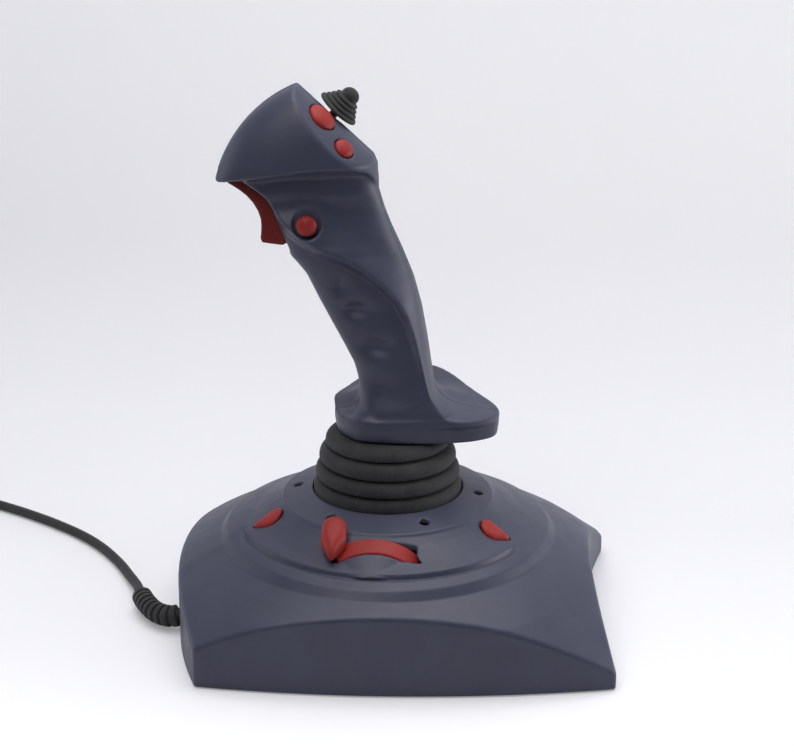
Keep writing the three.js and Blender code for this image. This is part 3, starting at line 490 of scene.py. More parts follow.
def circuit_board(n, colour):
    """Green solder mask over copper tracks, with bare pads."""
    tracks = n.ramp(n.cells(4.2), 0.42, 0.47)
    pads = n.ramp(n.cells(2.6), 0.16, 0.12)
    tone = n.mix(n.times(tracks, 0.5), colour, shade(colour, 2.0))
    tone = n.mix(pads, tone, (0.55, 0.50, 0.38, 1))
    gloss = n.ramp(n.noise(1.5), 0.3, 0.7, 0.28, 0.42)
    n.set(Base_Color=tone, Roughness=gloss, Normal=n.bump(tracks, 0.05), Metallic=n.times(pads, 0.8))


FINISH = {}


def finish(slot, recipe, *arguments, **options):
    """Makes the material for one of the record's slots, from the record's colour."""
    entry = next(m for m in frame["record"]["materials"] if m["slot"] == slot)
    FINISH[slot] = bpy.data.materials.new(slot)
    recipe(Nodes(FINISH[slot]), tuple(entry["base_color"][:3]) + (1.0,), *arguments, **options)


RED = {"grain_mm": 0.5, "grain_depth": 0.03, "wear": 0.2, "tint": (0.97, 0.72, 0.66), "shine": 0.28}
finish("slate_shell", moulded_plastic, 0.42, tint=(0.85, 0.84, 1.02))
finish("red_control", moulded_plastic, 0.44, **RED)
finish("trigger_red", moulded_plastic, 0.46, **RED)
finish("black_plastic", moulded_plastic, 0.5, 0.5, 0.03, 0.3)
finish("nylon", moulded_plastic, 0.45, 0.7, 0.02, 0.1)
finish("black_rubber", rubber, 0.78)
finish("steel", metal, 0.32)
finish("circuit_board", circuit_board)


REPLACED = set()                 # CAD nodes that a piece stands for


def dress(piece, body, slot, node):
    """Gives a piece its finish, sets it riding on its body, and lets it stand for its CAD node."""
    piece.data.materials.append(FINISH[slot])
    if body:
        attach(piece, body)
    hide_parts(node)
    REPLACED.add(node)
    return piece


# ---------- base

FRONT_CORNER = (79.7, 79.8)
REAR_CORNER = (73.0, -102.0)
FRONT_BULGE, SIDE_BULGE, REAR_HOLLOW = 15.0, 7.5, -9.5
BASE_BOTTOM = node_box("base_cover")[0][2]
CORNER_RADIUS = 2.2
DOME = [
    (31, 64.9), (33.5, 63.9), (47.6, 59.9), (48.8, 59), (52, 56.5), (56, 53.9), (60.5, 51.4), (66.4, 48.9),
    (73.2, 45.6), (76.4, 41.6), (84, 38.1), (90, 35), (96, 31.6), (102, 27.3), (109, 21.9), (117, 15.9),
    (124, 9.8), (134, 1),
]
STEP_RADIUS, STEP_HEIGHT = 48.1, 0.55
GROOVE_RADIUS, GROOVE_DEPTH = 66.4, 1.9
OPENING_RADIUS = 33.9
RING_SCREW_RADIUS, RING_SCREW_TURN, RING_HOLE = 41.0, 26.0, 2.15
THROTTLE_X, DRUM_RADIUS, DRUM_WIDTH = -54.0, 29.3, 7.0
DRUM_TAPER = 3.7                 # how much smaller the drum is at its left-hand edge
CHEEK_SLOPE = 0.78
THROTTLE_SLOT = (-15.4, 21.0)    # from rear to front
KNOB_ANGLE, KNOB_LEAN = 33.0, -3.0    # degrees forward of straight up: its place and its own lean
KNOB_TILT = 0.45                 # how steeply its top climbs to the right
KNOB_LENGTH, KNOB_WIDTH = 16.4, 11.6
BUTTON_SIZE = (14.0, 9.2)
BUTTON_RISE = 1.6
BASE_BUTTONS = {
    "base_button_front": ((-20.3, 53.3), 93.0),
    "base_button_rear": ((-28.2, -49.7), 270.0),
}
PAN_SCREWS = [(56, 44), (-56, 44), (50, -66), (-50, -66)]
POST_RADIUS, SCREW_BORE = 4.2, 1.7
CABLE_EXIT, CABLE_HOLE = (-24.0, 9.4), 4.0      # x and height of the hole in the front wall; its radius


def arc(a, b, bulge, steps=24):
    """Points from a to b on a shallow arc that bulges to the right of the direction of travel."""
    a, b = np.array(a, float), np.array(b, float)
    along = (b - a) / np.linalg.norm(b - a)
    right = np.array([along[1], -along[0]])
    places = np.linspace(-1, 1, steps, endpoint=False)
    return [tuple(a + (b - a) * (t + 1) / 2 + right * bulge * (1 - t * t)) for t in places]


def base_outline():
    inset = CORNER_RADIUS
    fx, fy = FRONT_CORNER[0] - inset, FRONT_CORNER[1] - inset
    rx, ry = REAR_CORNER[0] - inset, REAR_CORNER[1] + inset
    return (
        arc((rx, ry), (fx, fy), SIDE_BULGE) + arc((fx, fy), (-fx, fy), FRONT_BULGE)
        + arc((-fx, fy), (-rx, ry), SIDE_BULGE) + arc((-rx, ry), (rx, ry), REAR_HOLLOW)
    )


def dome_height(x, y):
    """Height of the cover's top above the table, with its ring steps and the curved groove."""
    radius = np.hypot(x, y)
    azimuth = np.degrees(np.arctan2(y, -x))            # 0 towards -x, positive to the front
    height = curve(radius, DOME, 0.6)
    # The fine ring step fades out beside the rear button.
    fade = 1 - np.exp(-((azimuth + 71) / 9) ** 2)
    height = height - STEP_HEIGHT * fade * smoothstep(STEP_RADIUS - 0.35, STEP_RADIUS + 0.35, radius)
    height = height + STEP_HEIGHT * fade * smoothstep(STEP_RADIUS, STEP_RADIUS + 9, radius)
    # The leaf-shaped groove is deepest on the left and runs out to points.
    depth = smoothstep(-63, -55, azimuth) * smoothstep(76, 68, azimuth)
    inner = smoothstep(GROOVE_RADIUS - 0.7, GROOVE_RADIUS + 0.3, radius)
    outer = smoothstep(GROOVE_RADIUS + 0.7, GROOVE_RADIUS + 2.0, radius)
    return height - GROOVE_DEPTH * depth * inner * (1 - 0.7 * outer)


def shield(along, across, length, width):
    """Signed distance to a drop that is round at +along and pointed at -along."""
    head = width / 2
    centre = length / 2 - head
    tip = -length / 2
    reach = centre - tip
    sine = head / reach
    cosine = math.sqrt(1 - sine * sine)
    side = np.abs(across)
    flank = (along - tip) * -sine + side * cosine
    touch = centre - head * sine
    round_end = np.hypot(along - centre, side) - head
    drop = np.where(along * cosine + side * sine > touch * cosine + head * cosine * sine, round_end, flank)
    return smooth_max(drop, tip + 0.9 - along, 1.8)


def shield_at(g, centre, heading, length, width):
    """A shield lying in the plane of x and y with its point towards the heading."""
    turn = math.radians(heading)
    u, v = g.x - centre[0], g.y - centre[1]
    along = -(u * math.cos(turn) + v * math.sin(turn))
    return shield(along, v * math.cos(turn) - u * math.sin(turn), length, width)


def ring_screw_places():
    angles = [math.radians(RING_SCREW_TURN + 60 * i) for i in range(6)]
    return [(RING_SCREW_RADIUS * math.cos(a), RING_SCREW_RADIUS * math.sin(a)) for a in angles]


def make_base_cover():
    g = node_grid("base_cover", 0.62)
    axis_radius = np.hypot(g.x, g.y)
    height = dome_height(g.x, g.y)
    steep = np.hypot(*np.gradient(height[:, :, 0], g.voxel))[:, :, None]
    top = (g.z - height) / np.sqrt(1 + np.minimum(steep, 1.5) ** 2)
    side = polygon(g.x, g.y, base_outline()) - CORNER_RADIUS
    body = smooth_max(smooth_max(top, side, 1.8), BASE_BOTTOM - g.z, 0.6)
    body = cut(body, meet(top + WALL, side + WALL, -1.0 - g.z))
    for x, y in PAN_SCREWS:
        radius = np.hypot(g.x - x, g.y - y)
        body = smooth_min(body, meet(radius - POST_RADIUS, 8.1 - g.z, top + 1), 1.2)
        body = cut(body, meet(radius - SCREW_BORE, g.z - 21))
    # The cover swells up to the slot's near side like a cone about the throttle's axle.
    slot_side = THROTTLE_X - DRUM_WIDTH / 2 - GAP
    rim = np.hypot(g.y - THROTTLE_AXIS[0], g.z - THROTTLE_AXIS[1])
    cone = rim - DRUM_RADIUS + DRUM_TAPER + 0.2 + CHEEK_SLOPE * (slot_side - g.x)
    cheek = meet(cone / math.hypot(1, CHEEK_SLOPE), 47.5 - g.z, g.x - slot_side - 1, slot_side - 9 - g.x)
    body = smooth_min(body, cheek, 0.5)
    body = cut(body, axis_radius - OPENING_RADIUS, 0.8)
    for x, y in ring_screw_places():
        body = cut(body, meet(np.hypot(g.x - x, g.y - y) - RING_HOLE, 50 - g.z), 0.5)
    for centre, heading in BASE_BUTTONS.values():
        hole = shield_at(g, centre, heading, *BUTTON_SIZE) - GAP
        body = cut(body, meet(hole, 35 - g.z), 0.5)
    width = slab(g.x, THROTTLE_X, DRUM_WIDTH / 2) - GAP
    body = cut(body, meet(width, THROTTLE_SLOT[0] - g.y, g.y - THROTTLE_SLOT[1], 40 - g.z), 0.5)
    body = cut(body, meet(rim - DRUM_RADIUS - GAP, width, g.y))
    exit_radius = np.hypot(g.x - CABLE_EXIT[0], g.z - CABLE_EXIT[1])
    body = cut(body, meet(exit_radius - CABLE_HOLE, 60 - g.y), 0.5)
    dress(surface("base_cover_shell", g, body), "base", "slate_shell", "base_cover")


def make_base_buttons():
    for name, (centre, heading) in BASE_BUTTONS.items():
        g = node_grid(name, 0.28)
        outline = shield_at(g, centre, heading, *BUTTON_SIZE)
        crown = BUTTON_RISE + 0.3 - 1.0 * np.exp(outline / 1.6)
        top = 0.87 * (g.z - curve(np.hypot(g.x, g.y), DOME, 3.0) - crown)
        cap = smooth_max(outline, top, 1.2)
        foot = node_box(name)[0][2]
        skirt = meet(outline - 1.2, slab(g.z, foot + 0.6, 0.6))
        body = meet(join(cap, skirt), foot - g.z)
        dress(surface(name + "_cap", g, body), name, "red_control", name)


def make_feet():
    for i in range(1, 5):
        name = f"rubber_foot_{i}"
        low, high = node_box(name)
        radius = (high[0] - low[0]) / 2
        profile = rounded([
            (0, 0.5), (radius - 3.2, 0.5), (radius - 2.6, 0), (radius, 0), (radius, high[2]), (0, high[2]),
        ], 0.6)
        placing = Matrix.Translation(((low[0] + high[0]) / 2, (low[1] + high[1]) / 2, 0))
        dress(turned(f"foot_pad_{i}", profile, 64, placing), "base", "black_rubber", name)


def make_screw(name, body, node, placing, head_radius, head_height, shank_radius, length):
    """A pan-head screw with a cross recess, pointing down its own z, with its head on z = 0."""
    reach = head_radius + 0.6
    g = Grid((-reach, -reach, -length - 0.6), (reach, reach, head_height + 0.6), 0.22)
    radius = np.hypot(g.x, g.y)
    head = smooth_max(radius - head_radius, slab(g.z, head_height / 2, head_height / 2), 0.9)
    thread = 0.16 * np.cos(2 * math.pi * (g.z / 1.1 - np.arctan2(g.y, g.x) / (2 * math.pi)))
    tip = smoothstep(-length, -length + 2, g.z)
    shank = meet(radius - (shank_radius * 0.9 + thread) * (0.4 + 0.6 * tip), -length - g.z, g.z - 0.3)
    arm = head_radius * 0.55 * smoothstep(-0.2, head_height, g.z)
    for a, b in ((g.x, g.y), (g.y, g.x)):
        head = cut(head, meet(np.abs(a) - 0.38, np.abs(b) - arm, 0.35 * head_height - g.z))
    piece = surface(name, g, join(head, shank))
    points = from_frame([v.co for v in piece.data.vertices])
    points = to_frame(placed(points, placing))
    piece.data.vertices.foreach_set("co", points.astype(np.float32).ravel())
    piece.data.update()
    dress(piece, body, "steel", node)


# Piece, node, body, number of them; radius and height of the head, radius and length of the shank.
SCREWS = [
    ("underside_screw", "pan_screw", "base", 4, (3.1, 1.6, 1.3, 13)),
    ("clamp_screw", "ring_screw", "base", 6, (2.0, 1.5, 1.2, 6)),
    ("grip_screw", "handle_screw", "stick", 3, (2.6, 1.8, 1.2, 17)),
]


def make_screws():
    for piece, node, body, count, sizes in SCREWS:
        for i in range(1, count + 1):
            low, high = node_box(f"{node}_{i}")
            x, y, z = (low + high) / 2
            turn = Matrix.Identity(4)
            if node == "pan_screw":
                z, turn = low[2] + 1.8, Matrix.Rotation(math.pi, 4, "X")
            elif node == "ring_screw":
                z = high[2] - 1.5
            else:
                x, turn = high[0] - 1.8, Matrix.Rotation(math.pi / 2, 4, "Y")
            placing = Matrix.Translation((x, y, z)) @ turn
            make_screw(f"{piece}_{i}", body, f"{node}_{i}", placing, *sizes)


# ---------- throttle

def drum_radius(x):
    """The drum's radius at x: a cone that narrows to the left."""
    return DRUM_RADIUS - DRUM_TAPER * (THROTTLE_X + DRUM_WIDTH / 2 - x) / DRUM_WIDTH


def make_throttle():
    g = node_grid("throttle_lever", 0.38)
    y, z = g.y - THROTTLE_AXIS[0], g.z - THROTTLE_AXIS[1]
    rim = np.hypot(y, z)
    forward = np.degrees(np.arctan2(y, z))
    across = np.abs(g.x - THROTTLE_X)
    skin = drum_radius(g.x)
    slant = DRUM_WIDTH / math.hypot(DRUM_WIDTH, DRUM_TAPER)
    half = DRUM_WIDTH / 2

    def between(start, end):
        """Signed distance to the stretch between two angles, along the rim."""
        return slab(forward, (start + end) / 2, (end - start) / 2) * math.pi / 180 * rim

    def sector(depth_low, depth_high, start, end):
        """Part of a ring between two depths below the drum's surface and two angles."""
        depth = slab(skin - rim, (depth_low + depth_high) / 2, (depth_low - depth_high) / 2)
        return meet(smooth_max(depth * slant, across - half, 0.8), between(start, end))

    band = join(sector(5, 0, -46, KNOB_ANGLE + 3), sector(5, 3, KNOB_ANGLE + 2, 88))
    web = meet(rim - DRUM_RADIUS + 5.5, 3 - rim, across - 1.2, between(-46, 88))
    hub = meet(rim - 5, across - half)
    lever = smooth_min(smooth_min(band, web, 1.0), hub, 1.5)
    # The knob: an upright shield with its point hanging down on the left.
    turn, lean = math.radians(KNOB_ANGLE), math.radians(KNOB_LEAN)
    seat = DRUM_RADIUS + 0.2
    v0, w0 = y - seat * math.sin(turn), z - seat * math.cos(turn)
    v = v0 * math.cos(lean) - w0 * math.sin(lean) - 1.3
    w = v0 * math.sin(lean) + w0 * math.cos(lean)
    u = g.x - THROTTLE_X - 0.4
    level = (w - KNOB_TILT * u) / (1 + 0.018 * u)
    size = curve(level, [(-0.5, 0.74), (0, 0.78), (2.2, 0.97), (5.2, 1.0), (7.8, 0.98), (9.6, 0.94)], 1.2)
    outline = shield(u / size, v / size, KNOB_LENGTH + 1.6, KNOB_WIDTH + 1.2) * size
    outline = meet(outline, np.abs(v) - KNOB_WIDTH / 2 + 0.3)
    crown = 9.3 - 0.035 * v * v - 0.012 * u * u
    knob = smooth_max(smooth_max(outline, 0.9 * (level - crown), 3.4), -0.9 * level, 1.2)
    knob = cut(knob, meet(rim - skin - 0.5, THROTTLE_X - half - GAP - 2.2 - g.x))
    # Its right-hand end is hollowed underneath, to pass over the cover where that is higher behind.
    end = g.x - THROTTLE_X - half
    knob = meet(knob, join(32.2 + 0.83 * end - rim, end + 0.2))
    neck = np.hypot(u - 0.2, v0 * math.cos(turn) - w0 * math.sin(turn)) - 2.2
    neck = meet(neck, slab(rim, DRUM_RADIUS, 2.8))
    lever = smooth_min(lever, smooth_min(knob, neck, 0.6), 0.7)
    lever = meet(lever, 2.4 - rim)           # the axle's bore
    dress(surface("throttle_lever_moulding", g, lever), "throttle", "red_control", "throttle_lever")


# ---------- bellows

BELLOWS_TIERS = [(61.2, 69.0, 33.5), (69.0, 76.4, 32.6), (76.4, 84.4, 30.9), (84.4, 90.4, 28.0)]
BELLOWS_SKIN = 1.4
BELLOWS_SPLIT = 76.4             # where the lower piece ends and the upper piece starts
BELLY = 0.3                      # share of a tier's height below its widest place
BELLOWS_FOLD = 2.8               # how far a groove lies inside the tier above it


def bellows_radius(height):
    """Outer radius: a rounded shoulder on every tier, and below it a fold that runs in under the tier."""
    for i, (bottom, top, radius) in enumerate(BELLOWS_TIERS):
        if height <= top or i == len(BELLOWS_TIERS) - 1:
            t = min(max((height - bottom) / (top - bottom), 0.0), 1.0)
            foot = radius - (0.2 if i == 0 else BELLOWS_FOLD)
            belly = 1 - max(0.0, 1 - t / BELLY) ** 2.2
            shoulder = max(0.0, (t - BELLY) / (1 - BELLY))
            last = BELLOWS_TIERS[i + 1][2] - BELLOWS_FOLD if i + 1 < len(BELLOWS_TIERS) else radius - 4.5
            top_side = radius - (radius - last) * (1 - math.sqrt(max(0.0, 1 - shoulder ** 2.4)))
            return foot + (radius - foot) * belly if t < BELLY else top_side
    return 0.0


def bellows_walls(low, high):
    """Profile of the outside going up and of the inside coming down, which stops under the lid."""
    outer = [(bellows_radius(h), h) for h in np.arange(low, high + 0.01, 0.3)]
    return outer, [(r - BELLOWS_SKIN, h) for r, h in outer[::-1] if h < 88.6]


def make_bellows():
    outer, inner = bellows_walls(BELLOWS_TIERS[0][0], BELLOWS_SPLIT)
    flange = [(31.0, 61.2), (31.0, 56.4), (37.2, 56.4), (37.2, 58.6), (33.7, 58.9)]
    lower = outer + inner + flange
    outer, inner = bellows_walls(BELLOWS_SPLIT, BELLOWS_TIERS[-1][1])
    lid = [(12.5, 90.4), (12.5, 89.0), (outer[-1][0] - 3, 89.0)]
    upper = outer + lid + inner
    for name, profile, bodies, bend in (
        ("bellows_lower", lower, ("base", "yoke"), (64, 76)),
        ("bellows_upper", upper, ("yoke", "stick"), (76.2, 87)),
    ):
        piece = dress(turned(name, profile, 144, closed=True, sharp=60), None, "black_rubber", "boot")
        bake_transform(piece)


# ---------- handle

PALM_CENTRE = (12.0, -12.0)
# Reach of the palm rest from its middle, every 15 degrees from +x towards +y.
PALM_REACH = [
    32.6, 33.8, 34.1, 33.6, 33.0, 33.4, 35.4, 37.2, 38.4, 37.8, 35.4, 32.4,
    31.1, 31.6, 34.0, 38.0, 41.6, 38.4, 32.4, 28.4, 27.2, 27.8, 29.6, 32.2,
]
PALM_BOTTOM, PALM_TOP = 91.0, 100.2
PALM_LIFT = 7.0
FACE_CENTRE = (22.1, 232.1)
FACE_SLOPE = math.radians(42.7)
FACE_CROWN = 28.0
HEAD_ARC = (16.2, 191.6, 60.0)            # centre (y, z) and radius of the head's side view
THUMB_BUTTON = (33.8, 188.9)              # y, z
THUMB_WELL = (6.1, -13.4)                 # radius, and the x of its floor
HANDLE_SCREWS = [(6, 150), (18, 186), (44, 223)]
HAT_PLACE = (7.3, 1.5)                    # across the face and up it
LARGE_BUTTON = ((-8.2, 5.3), 6.4)         # place on the face, radius
SMALL_BUTTON = ((-14.2, -9.9), 4.4)
TRIGGER_WIDTH = 10.0
SHAFT_RADIUS = 8.0
HALF_SEAM = 0.1                           # half the gap between the handle's two shells

# Side view of the grip: rear and front edge (y) at each height.
REAR_EDGE = [
    (91, -50), (99.4, -49), (100.3, -45), (101.5, -40), (102.9, -33), (105.5, -27.2), (109, -23.2),
    (113, -21.2), (122.8, -19.5), (133.7, -18), (148.9, -15.3), (162.7, -11.6), (175.4, -6.5), (185.9, -1.8),
    (193.3, 1), (202.4, 3.7), (210.2, 5.1), (225, 5.3),
]
FRONT_EDGE = [
    (92, 12.6), (112, 12.4), (116.7, 12.9), (123.7, 14.9), (132.2, 19.2), (143, 25), (152.8, 30),
    (164.2, 35.4), (169.8, 39.8), (172.4, 42.2), (177.3, 43.8), (180.2, 45), (185, 46.7), (189.7, 48),
    (194.5, 49.7), (198.9, 52.5), (202.1, 56.1), (204.4, 59.6), (206.4, 62), (216, 62),
]
# The ridge that runs from under the trigger back and down into the palm rest. Below it the finger side is
# set in by a sloping band. y, z, half width of the handle, depth of the step, width of the band:
RIDGE = [
    (48, 186.4, 15.4, 0.3, 1.5), (41.6, 183.5, 16.2, 1.2, 2.0), (36.7, 180.8, 17.2, 2.2, 3.2),
    (29.6, 178, 18.0, 3.0, 4.8), (22.4, 175.8, 18.1, 3.4, 5.6), (15.3, 173, 18.0, 3.6, 5.6),
    (8.3, 168.7, 17.8, 3.6, 5.0), (1.1, 162.6, 17.5, 3.4, 4.4), (-6, 154.5, 17.0, 3.0, 3.8),
    (-9.6, 147, 16.4, 2.3, 3.4), (-12.5, 138, 15.9, 1.5, 3.2), (-14.7, 128.9, 15.7, 0.8, 3.0),
    (-17.4, 118.5, 16.4, 0.3, 3.0), (-20, 111.1, 17.6, 0, 3.0), (-25.8, 102.9, 19.2, 0, 3.0),
    (-33, 98.6, 19.2, 0, 3.0), (-44, 95.6, 17.6, 0, 3.0),
]
PANEL_HALF_WIDTH = [
    (150, 17), (176, 18.2), (182, 17.6), (188, 16.2), (194, 14.6), (199, 13.2), (204, 12.4), (209, 12.6),
    (215, 15),
]
RIGHT_HALF_WIDTH = [
    (92, 20), (104, 19), (112, 18.3), (124, 17), (137, 17), (152, 17.6), (164, 17.4), (176, 16.8),
    (187, 15.8), (199, 13.8), (207, 13.2), (215, 15),
]
# Hollows for the fingers: y, z, half length and half height, depth.
DIMPLES = [
    (20.5, 160.5, 3.8, 4.2, 1.7), (12.8, 150, 6.4, 3.6, 2.5), (4.0, 133.4, 7.6, 4.2, 2.4),
    (1, 116, 8, 4.5, 1.1),
]
HEAD_UNDERSIDE = [
    (0, 200), (3, 205), (5.4, 208.4), (7.4, 210.4), (9.5, 211.9), (16, 213.5), (24.1, 213.7), (34.9, 212.7),
    (45.7, 211), (56.6, 209.3), (67, 207.2), (72.7, 205.6), (78, 204.6),
]
TRIGGER_ROOM = [(36, 174.6), (36, 186), (50, 214.5), (66, 214.5), (80, 206.4), (80, 174.6)]


def superellipse(u, v, power):
    return (np.abs(u) ** power + np.abs(v) ** power) ** (1 / power) - 1


def make_grip(g):
    """The grip's column, from the palm rest to inside the head."""
    rear, front = curve(g.z, REAR_EDGE, 1.6), curve(g.z, FRONT_EDGE, 1.6)
    ridge_y, ridge_z, *widths = zip(*RIDGE)
    below, index = nearest_on(g.y, g.z, list(zip(ridge_y, ridge_z)))
    crest, step, band = (np.interp(index, range(len(RIDGE)), column).astype(np.float32) for column in widths)
    step = 1.5 * step * np.clip(below / (0.75 * band), 0, 1)
    foot = smoothstep(111, 101, g.z)
    crest = crest * (1 - foot) + 19.2 * foot       # the near side of the foot is flush with the rim
    for y, z, long, tall, depth in DIMPLES:
        step = step + depth * np.exp(-((g.y - y) / long) ** 2 - ((g.z - z) / tall) ** 2)
    # Finger side, left: it is worked out as if it reached past the rear edge, to stay wide up to the ridge.
    back = np.minimum(rear, curve(g.z, [(92, -44), (98, -38), (103, -29), (111, -22), (123, -19.5)])) - 9
    s = (g.y - (front + back) / 2) / ((front - back) / 2)
    power = curve(g.z, [(96, 4.5), (106, 3.4), (120, 2.5), (150, 2.4), (172, 2.8), (185, 3.4), (210, 3.4)])
    side = g.distance(superellipse(s, g.x / (crest - step + 5 * smoothstep(0, 5, -below)), power))
    # Thumb panel and rear face, left.
    rows = sorted(zip(ridge_z, ridge_y, widths[0]))
    ridge_at = curve(g.z, [(z, y) for z, y, _ in rows], 1.0)
    crest_z = curve(g.z, [(z, w) for z, _, w in rows])
    centre = np.minimum(ridge_at + 6, 26)
    depth = centre - rear
    at_ridge = np.clip((centre - ridge_at) / depth, 0, 0.95)
    low_width = crest_z / (1 - at_ridge ** 2.2) ** (1 / 2.2)
    share = smoothstep(176, 184, g.z)
    width = low_width * (1 - share) + curve(g.z, PANEL_HALF_WIDTH) * share
    # The panel is scooped out above the ridge, as a shelf for the thumb, but not round the thumb button.
    near_button = np.exp(-((g.y - THUMB_BUTTON[0]) ** 2 + (g.z - THUMB_BUTTON[1]) ** 2) / 90)
    scoop = 3.6 * smoothstep(-1, 13, -below) * smoothstep(138, 165, g.z) * (1 - smoothstep(192, 204, g.z))
    width = width - scoop * (1 - near_button)
    panel = g.distance(superellipse(np.minimum(g.y - centre, 0) / depth, g.x / width, 2.2))
    left = smooth_max(side, panel, 0.5)
    # Right side: a plain palm swell.
    s = (g.y - (front + rear) / 2) / ((front - rear) / 2)
    right = g.distance(superellipse(s, g.x / curve(g.z, RIGHT_HALF_WIDTH), 2.4))
    share = smoothstep(-5, 5, g.x)
    return meet(left * (1 - share) + right * share, 90 - g.z, g.z - 212)


def make_head(g):
    y0, z0, radius = HEAD_ARC
    reach = np.hypot(g.y - y0, np.maximum(g.z - z0, 0))
    arch = g.distance(superellipse(reach / radius, g.x / 22.5, 3.0))
    rear = g.distance(superellipse(np.maximum(26 - g.y, 0) / 20.9, g.x / 21.6, 2.25))
    under = curve(g.y, HEAD_UNDERSIDE, 2.5) - g.z
    return smooth_max(smooth_max(arch, rear, 2.0), under, 2.2)


def face_frame(place, lean=0.0):
    """Placing matrix for a spot on the sloping face: x across, y up the face, z out of it.

    With lean 1 it also leans with the crown of the face; with lean 0 it stands straight.
    """
    across, up = place
    tilt = math.asin(across / FACE_CROWN) * lean
    face = Matrix.Translation((0, *FACE_CENTRE)) @ Matrix.Rotation(FACE_SLOPE, 4, "X")
    spot = Matrix.Translation((across, up, -across ** 2 / (2 * FACE_CROWN)))
    return face @ spot @ Matrix.Rotation(tilt, 4, "Y")


def face_height(g):
    """Height above the crowned face."""
    y, z = g.y - FACE_CENTRE[0], g.z - FACE_CENTRE[1]
    out = -math.sin(FACE_SLOPE) * y + math.cos(FACE_SLOPE) * z
    return (out + g.x ** 2 / (2 * FACE_CROWN)) / np.sqrt(1 + (g.x / FACE_CROWN) ** 2)


def rod(g, placing, radius, low, high):
    """A round bar along a placing's own z axis, between two heights."""
    m = np.array(placing.inverted(), float)
    u, v, w = (m[i, 0] * g.x + m[i, 1] * g.y + m[i, 2] * g.z + m[i, 3] for i in range(3))
    return meet(np.hypot(u, v) - radius, slab(w, (low + high) / 2, (high - low) / 2)).astype(np.float32)


def make_palm_rest(g):
    u, v = g.x - PALM_CENTRE[0], g.y - PALM_CENTRE[1]
    turn = np.degrees(np.arctan2(v, u)) % 360
    knots = [(15 * i, PALM_REACH[i % len(PALM_REACH)]) for i in range(-2, len(PALM_REACH) + 3)]
    reach = curve(turn, knots, 9.0)
    outline = np.hypot(u, v) - reach * (0.985 + 0.015 * smoothstep(PALM_BOTTOM, PALM_BOTTOM + 6, g.z))
    climb = PALM_LIFT * np.maximum(g.x / 45, 0) ** 1.5
    dish = 2.2 * np.exp(-((g.x + 9) / 6) ** 2 - ((g.y - 9) / 8) ** 2)
    top = (g.z - (PALM_TOP + climb - dish)) / np.sqrt(1 + (0.23 * smoothstep(0, 30, g.x)) ** 2)
    return smooth_max(smooth_max(outline, top, 1.4), PALM_BOTTOM - g.z, 1.0)


def make_handle():
    g = Grid((-23, -52, 89), (47.4, 78, 250), 0.62)
    outside = smooth_min(make_grip(g), make_head(g), 4.5)
    outside = smooth_max(outside, face_height(g), 1.0)
    rest = make_palm_rest(g)
    # Below the rest's top, nothing of the grip stands out past the rim.
    above = smoothstep(98, 101.5, g.z)
    outside = meet(outside, rest * (1 - above) - 30 * above)
    blend = 4 + 9 * smoothstep(0, 14, g.x) * smoothstep(-44, -24, g.y) + 6 * smoothstep(2, 14, g.y)
    outside = smooth_max(smooth_min(outside, rest, blend), PALM_BOTTOM - g.z, 1.0)

    shell = cut(outside, outside + WALL)
    axis_radius = np.hypot(g.x, g.y)
    pivot = np.hypot(g.y - TRIGGER_PIVOT[0], g.z - TRIGGER_PIVOT[1])
    bores = [np.hypot(g.y - y, g.z - z) for y, z in HANDLE_SCREWS]
    well = np.hypot(g.y - THUMB_BUTTON[0], g.z - THUMB_BUTTON[1])
    room = polygon(g.y, g.z, TRIGGER_ROOM)
    room_side = TRIGGER_WIDTH / 2 + GAP
    # Inside: the shaft's seat, the thumb button's cup, walls beside the trigger's room, and screw bosses.
    inner = join(
        meet(axis_radius - SHAFT_RADIUS - 3, g.z - 123),
        meet(well - THUMB_WELL[0] - 1.6, slab(g.x, THUMB_WELL[1] - 0.5, 3)),
        meet(room - 1, slab(np.abs(g.x), room_side + 1.1, 1.1)),
        pivot - 3.6, *(bore - 3.4 for bore in bores),
    )
    shell = smooth_min(shell, meet(inner, outside + 0.8), 0.6)
    shell = cut(shell, meet(room, np.abs(g.x) - room_side), 0.5)
    shell = cut(shell, meet(axis_radius - SHAFT_RADIUS - GAP, g.z - 170))
    shell = cut(shell, meet(pivot - 1.8, np.abs(g.x) - 11))
    for bore in bores:
        shell = cut(shell, meet(bore - 1.7, slab(g.x, 1, 10)))
        shell = cut(shell, meet(bore - 3.1, 9.5 - g.x), 0.5)
    shell = cut(shell, meet(well - THUMB_WELL[0], g.x - THUMB_WELL[1]), 0.9)
    shell = cut(shell, meet(well - 3.4, g.x + 2))
    shell = cut(shell, rod(g, face_frame(HAT_PLACE), 4.6, -12, 6), 0.7)
    for place, radius in (LARGE_BUTTON, SMALL_BUTTON):
        shell = cut(shell, rod(g, face_frame(place, 1), radius + GAP, -8, 6), 0.6)
    for side, inward in (("left", g.x), ("right", -g.x)):
        half = surface(f"handle_{side}_shell", g, meet(shell, inward + HALF_SEAM))
        dress(half, "stick", "slate_shell", "handle_" + side)


# ---------- controls on the handle

def make_head_buttons():
    for name, (place, radius), rise in (
        ("head_button_large", LARGE_BUTTON, 1.9), ("head_button_small", SMALL_BUTTON, 1.7),
    ):
        stem = rounded([(0, -9.3), (2, -9.3), (2, -4.2), (radius, -3.9), (radius, -0.2)], 0.3)
        cap = turned(name + "_cap", stem + dome(radius, -0.3, rise + 0.3), 72, face_frame(place, 1))
        dress(cap, name, "red_control", name)


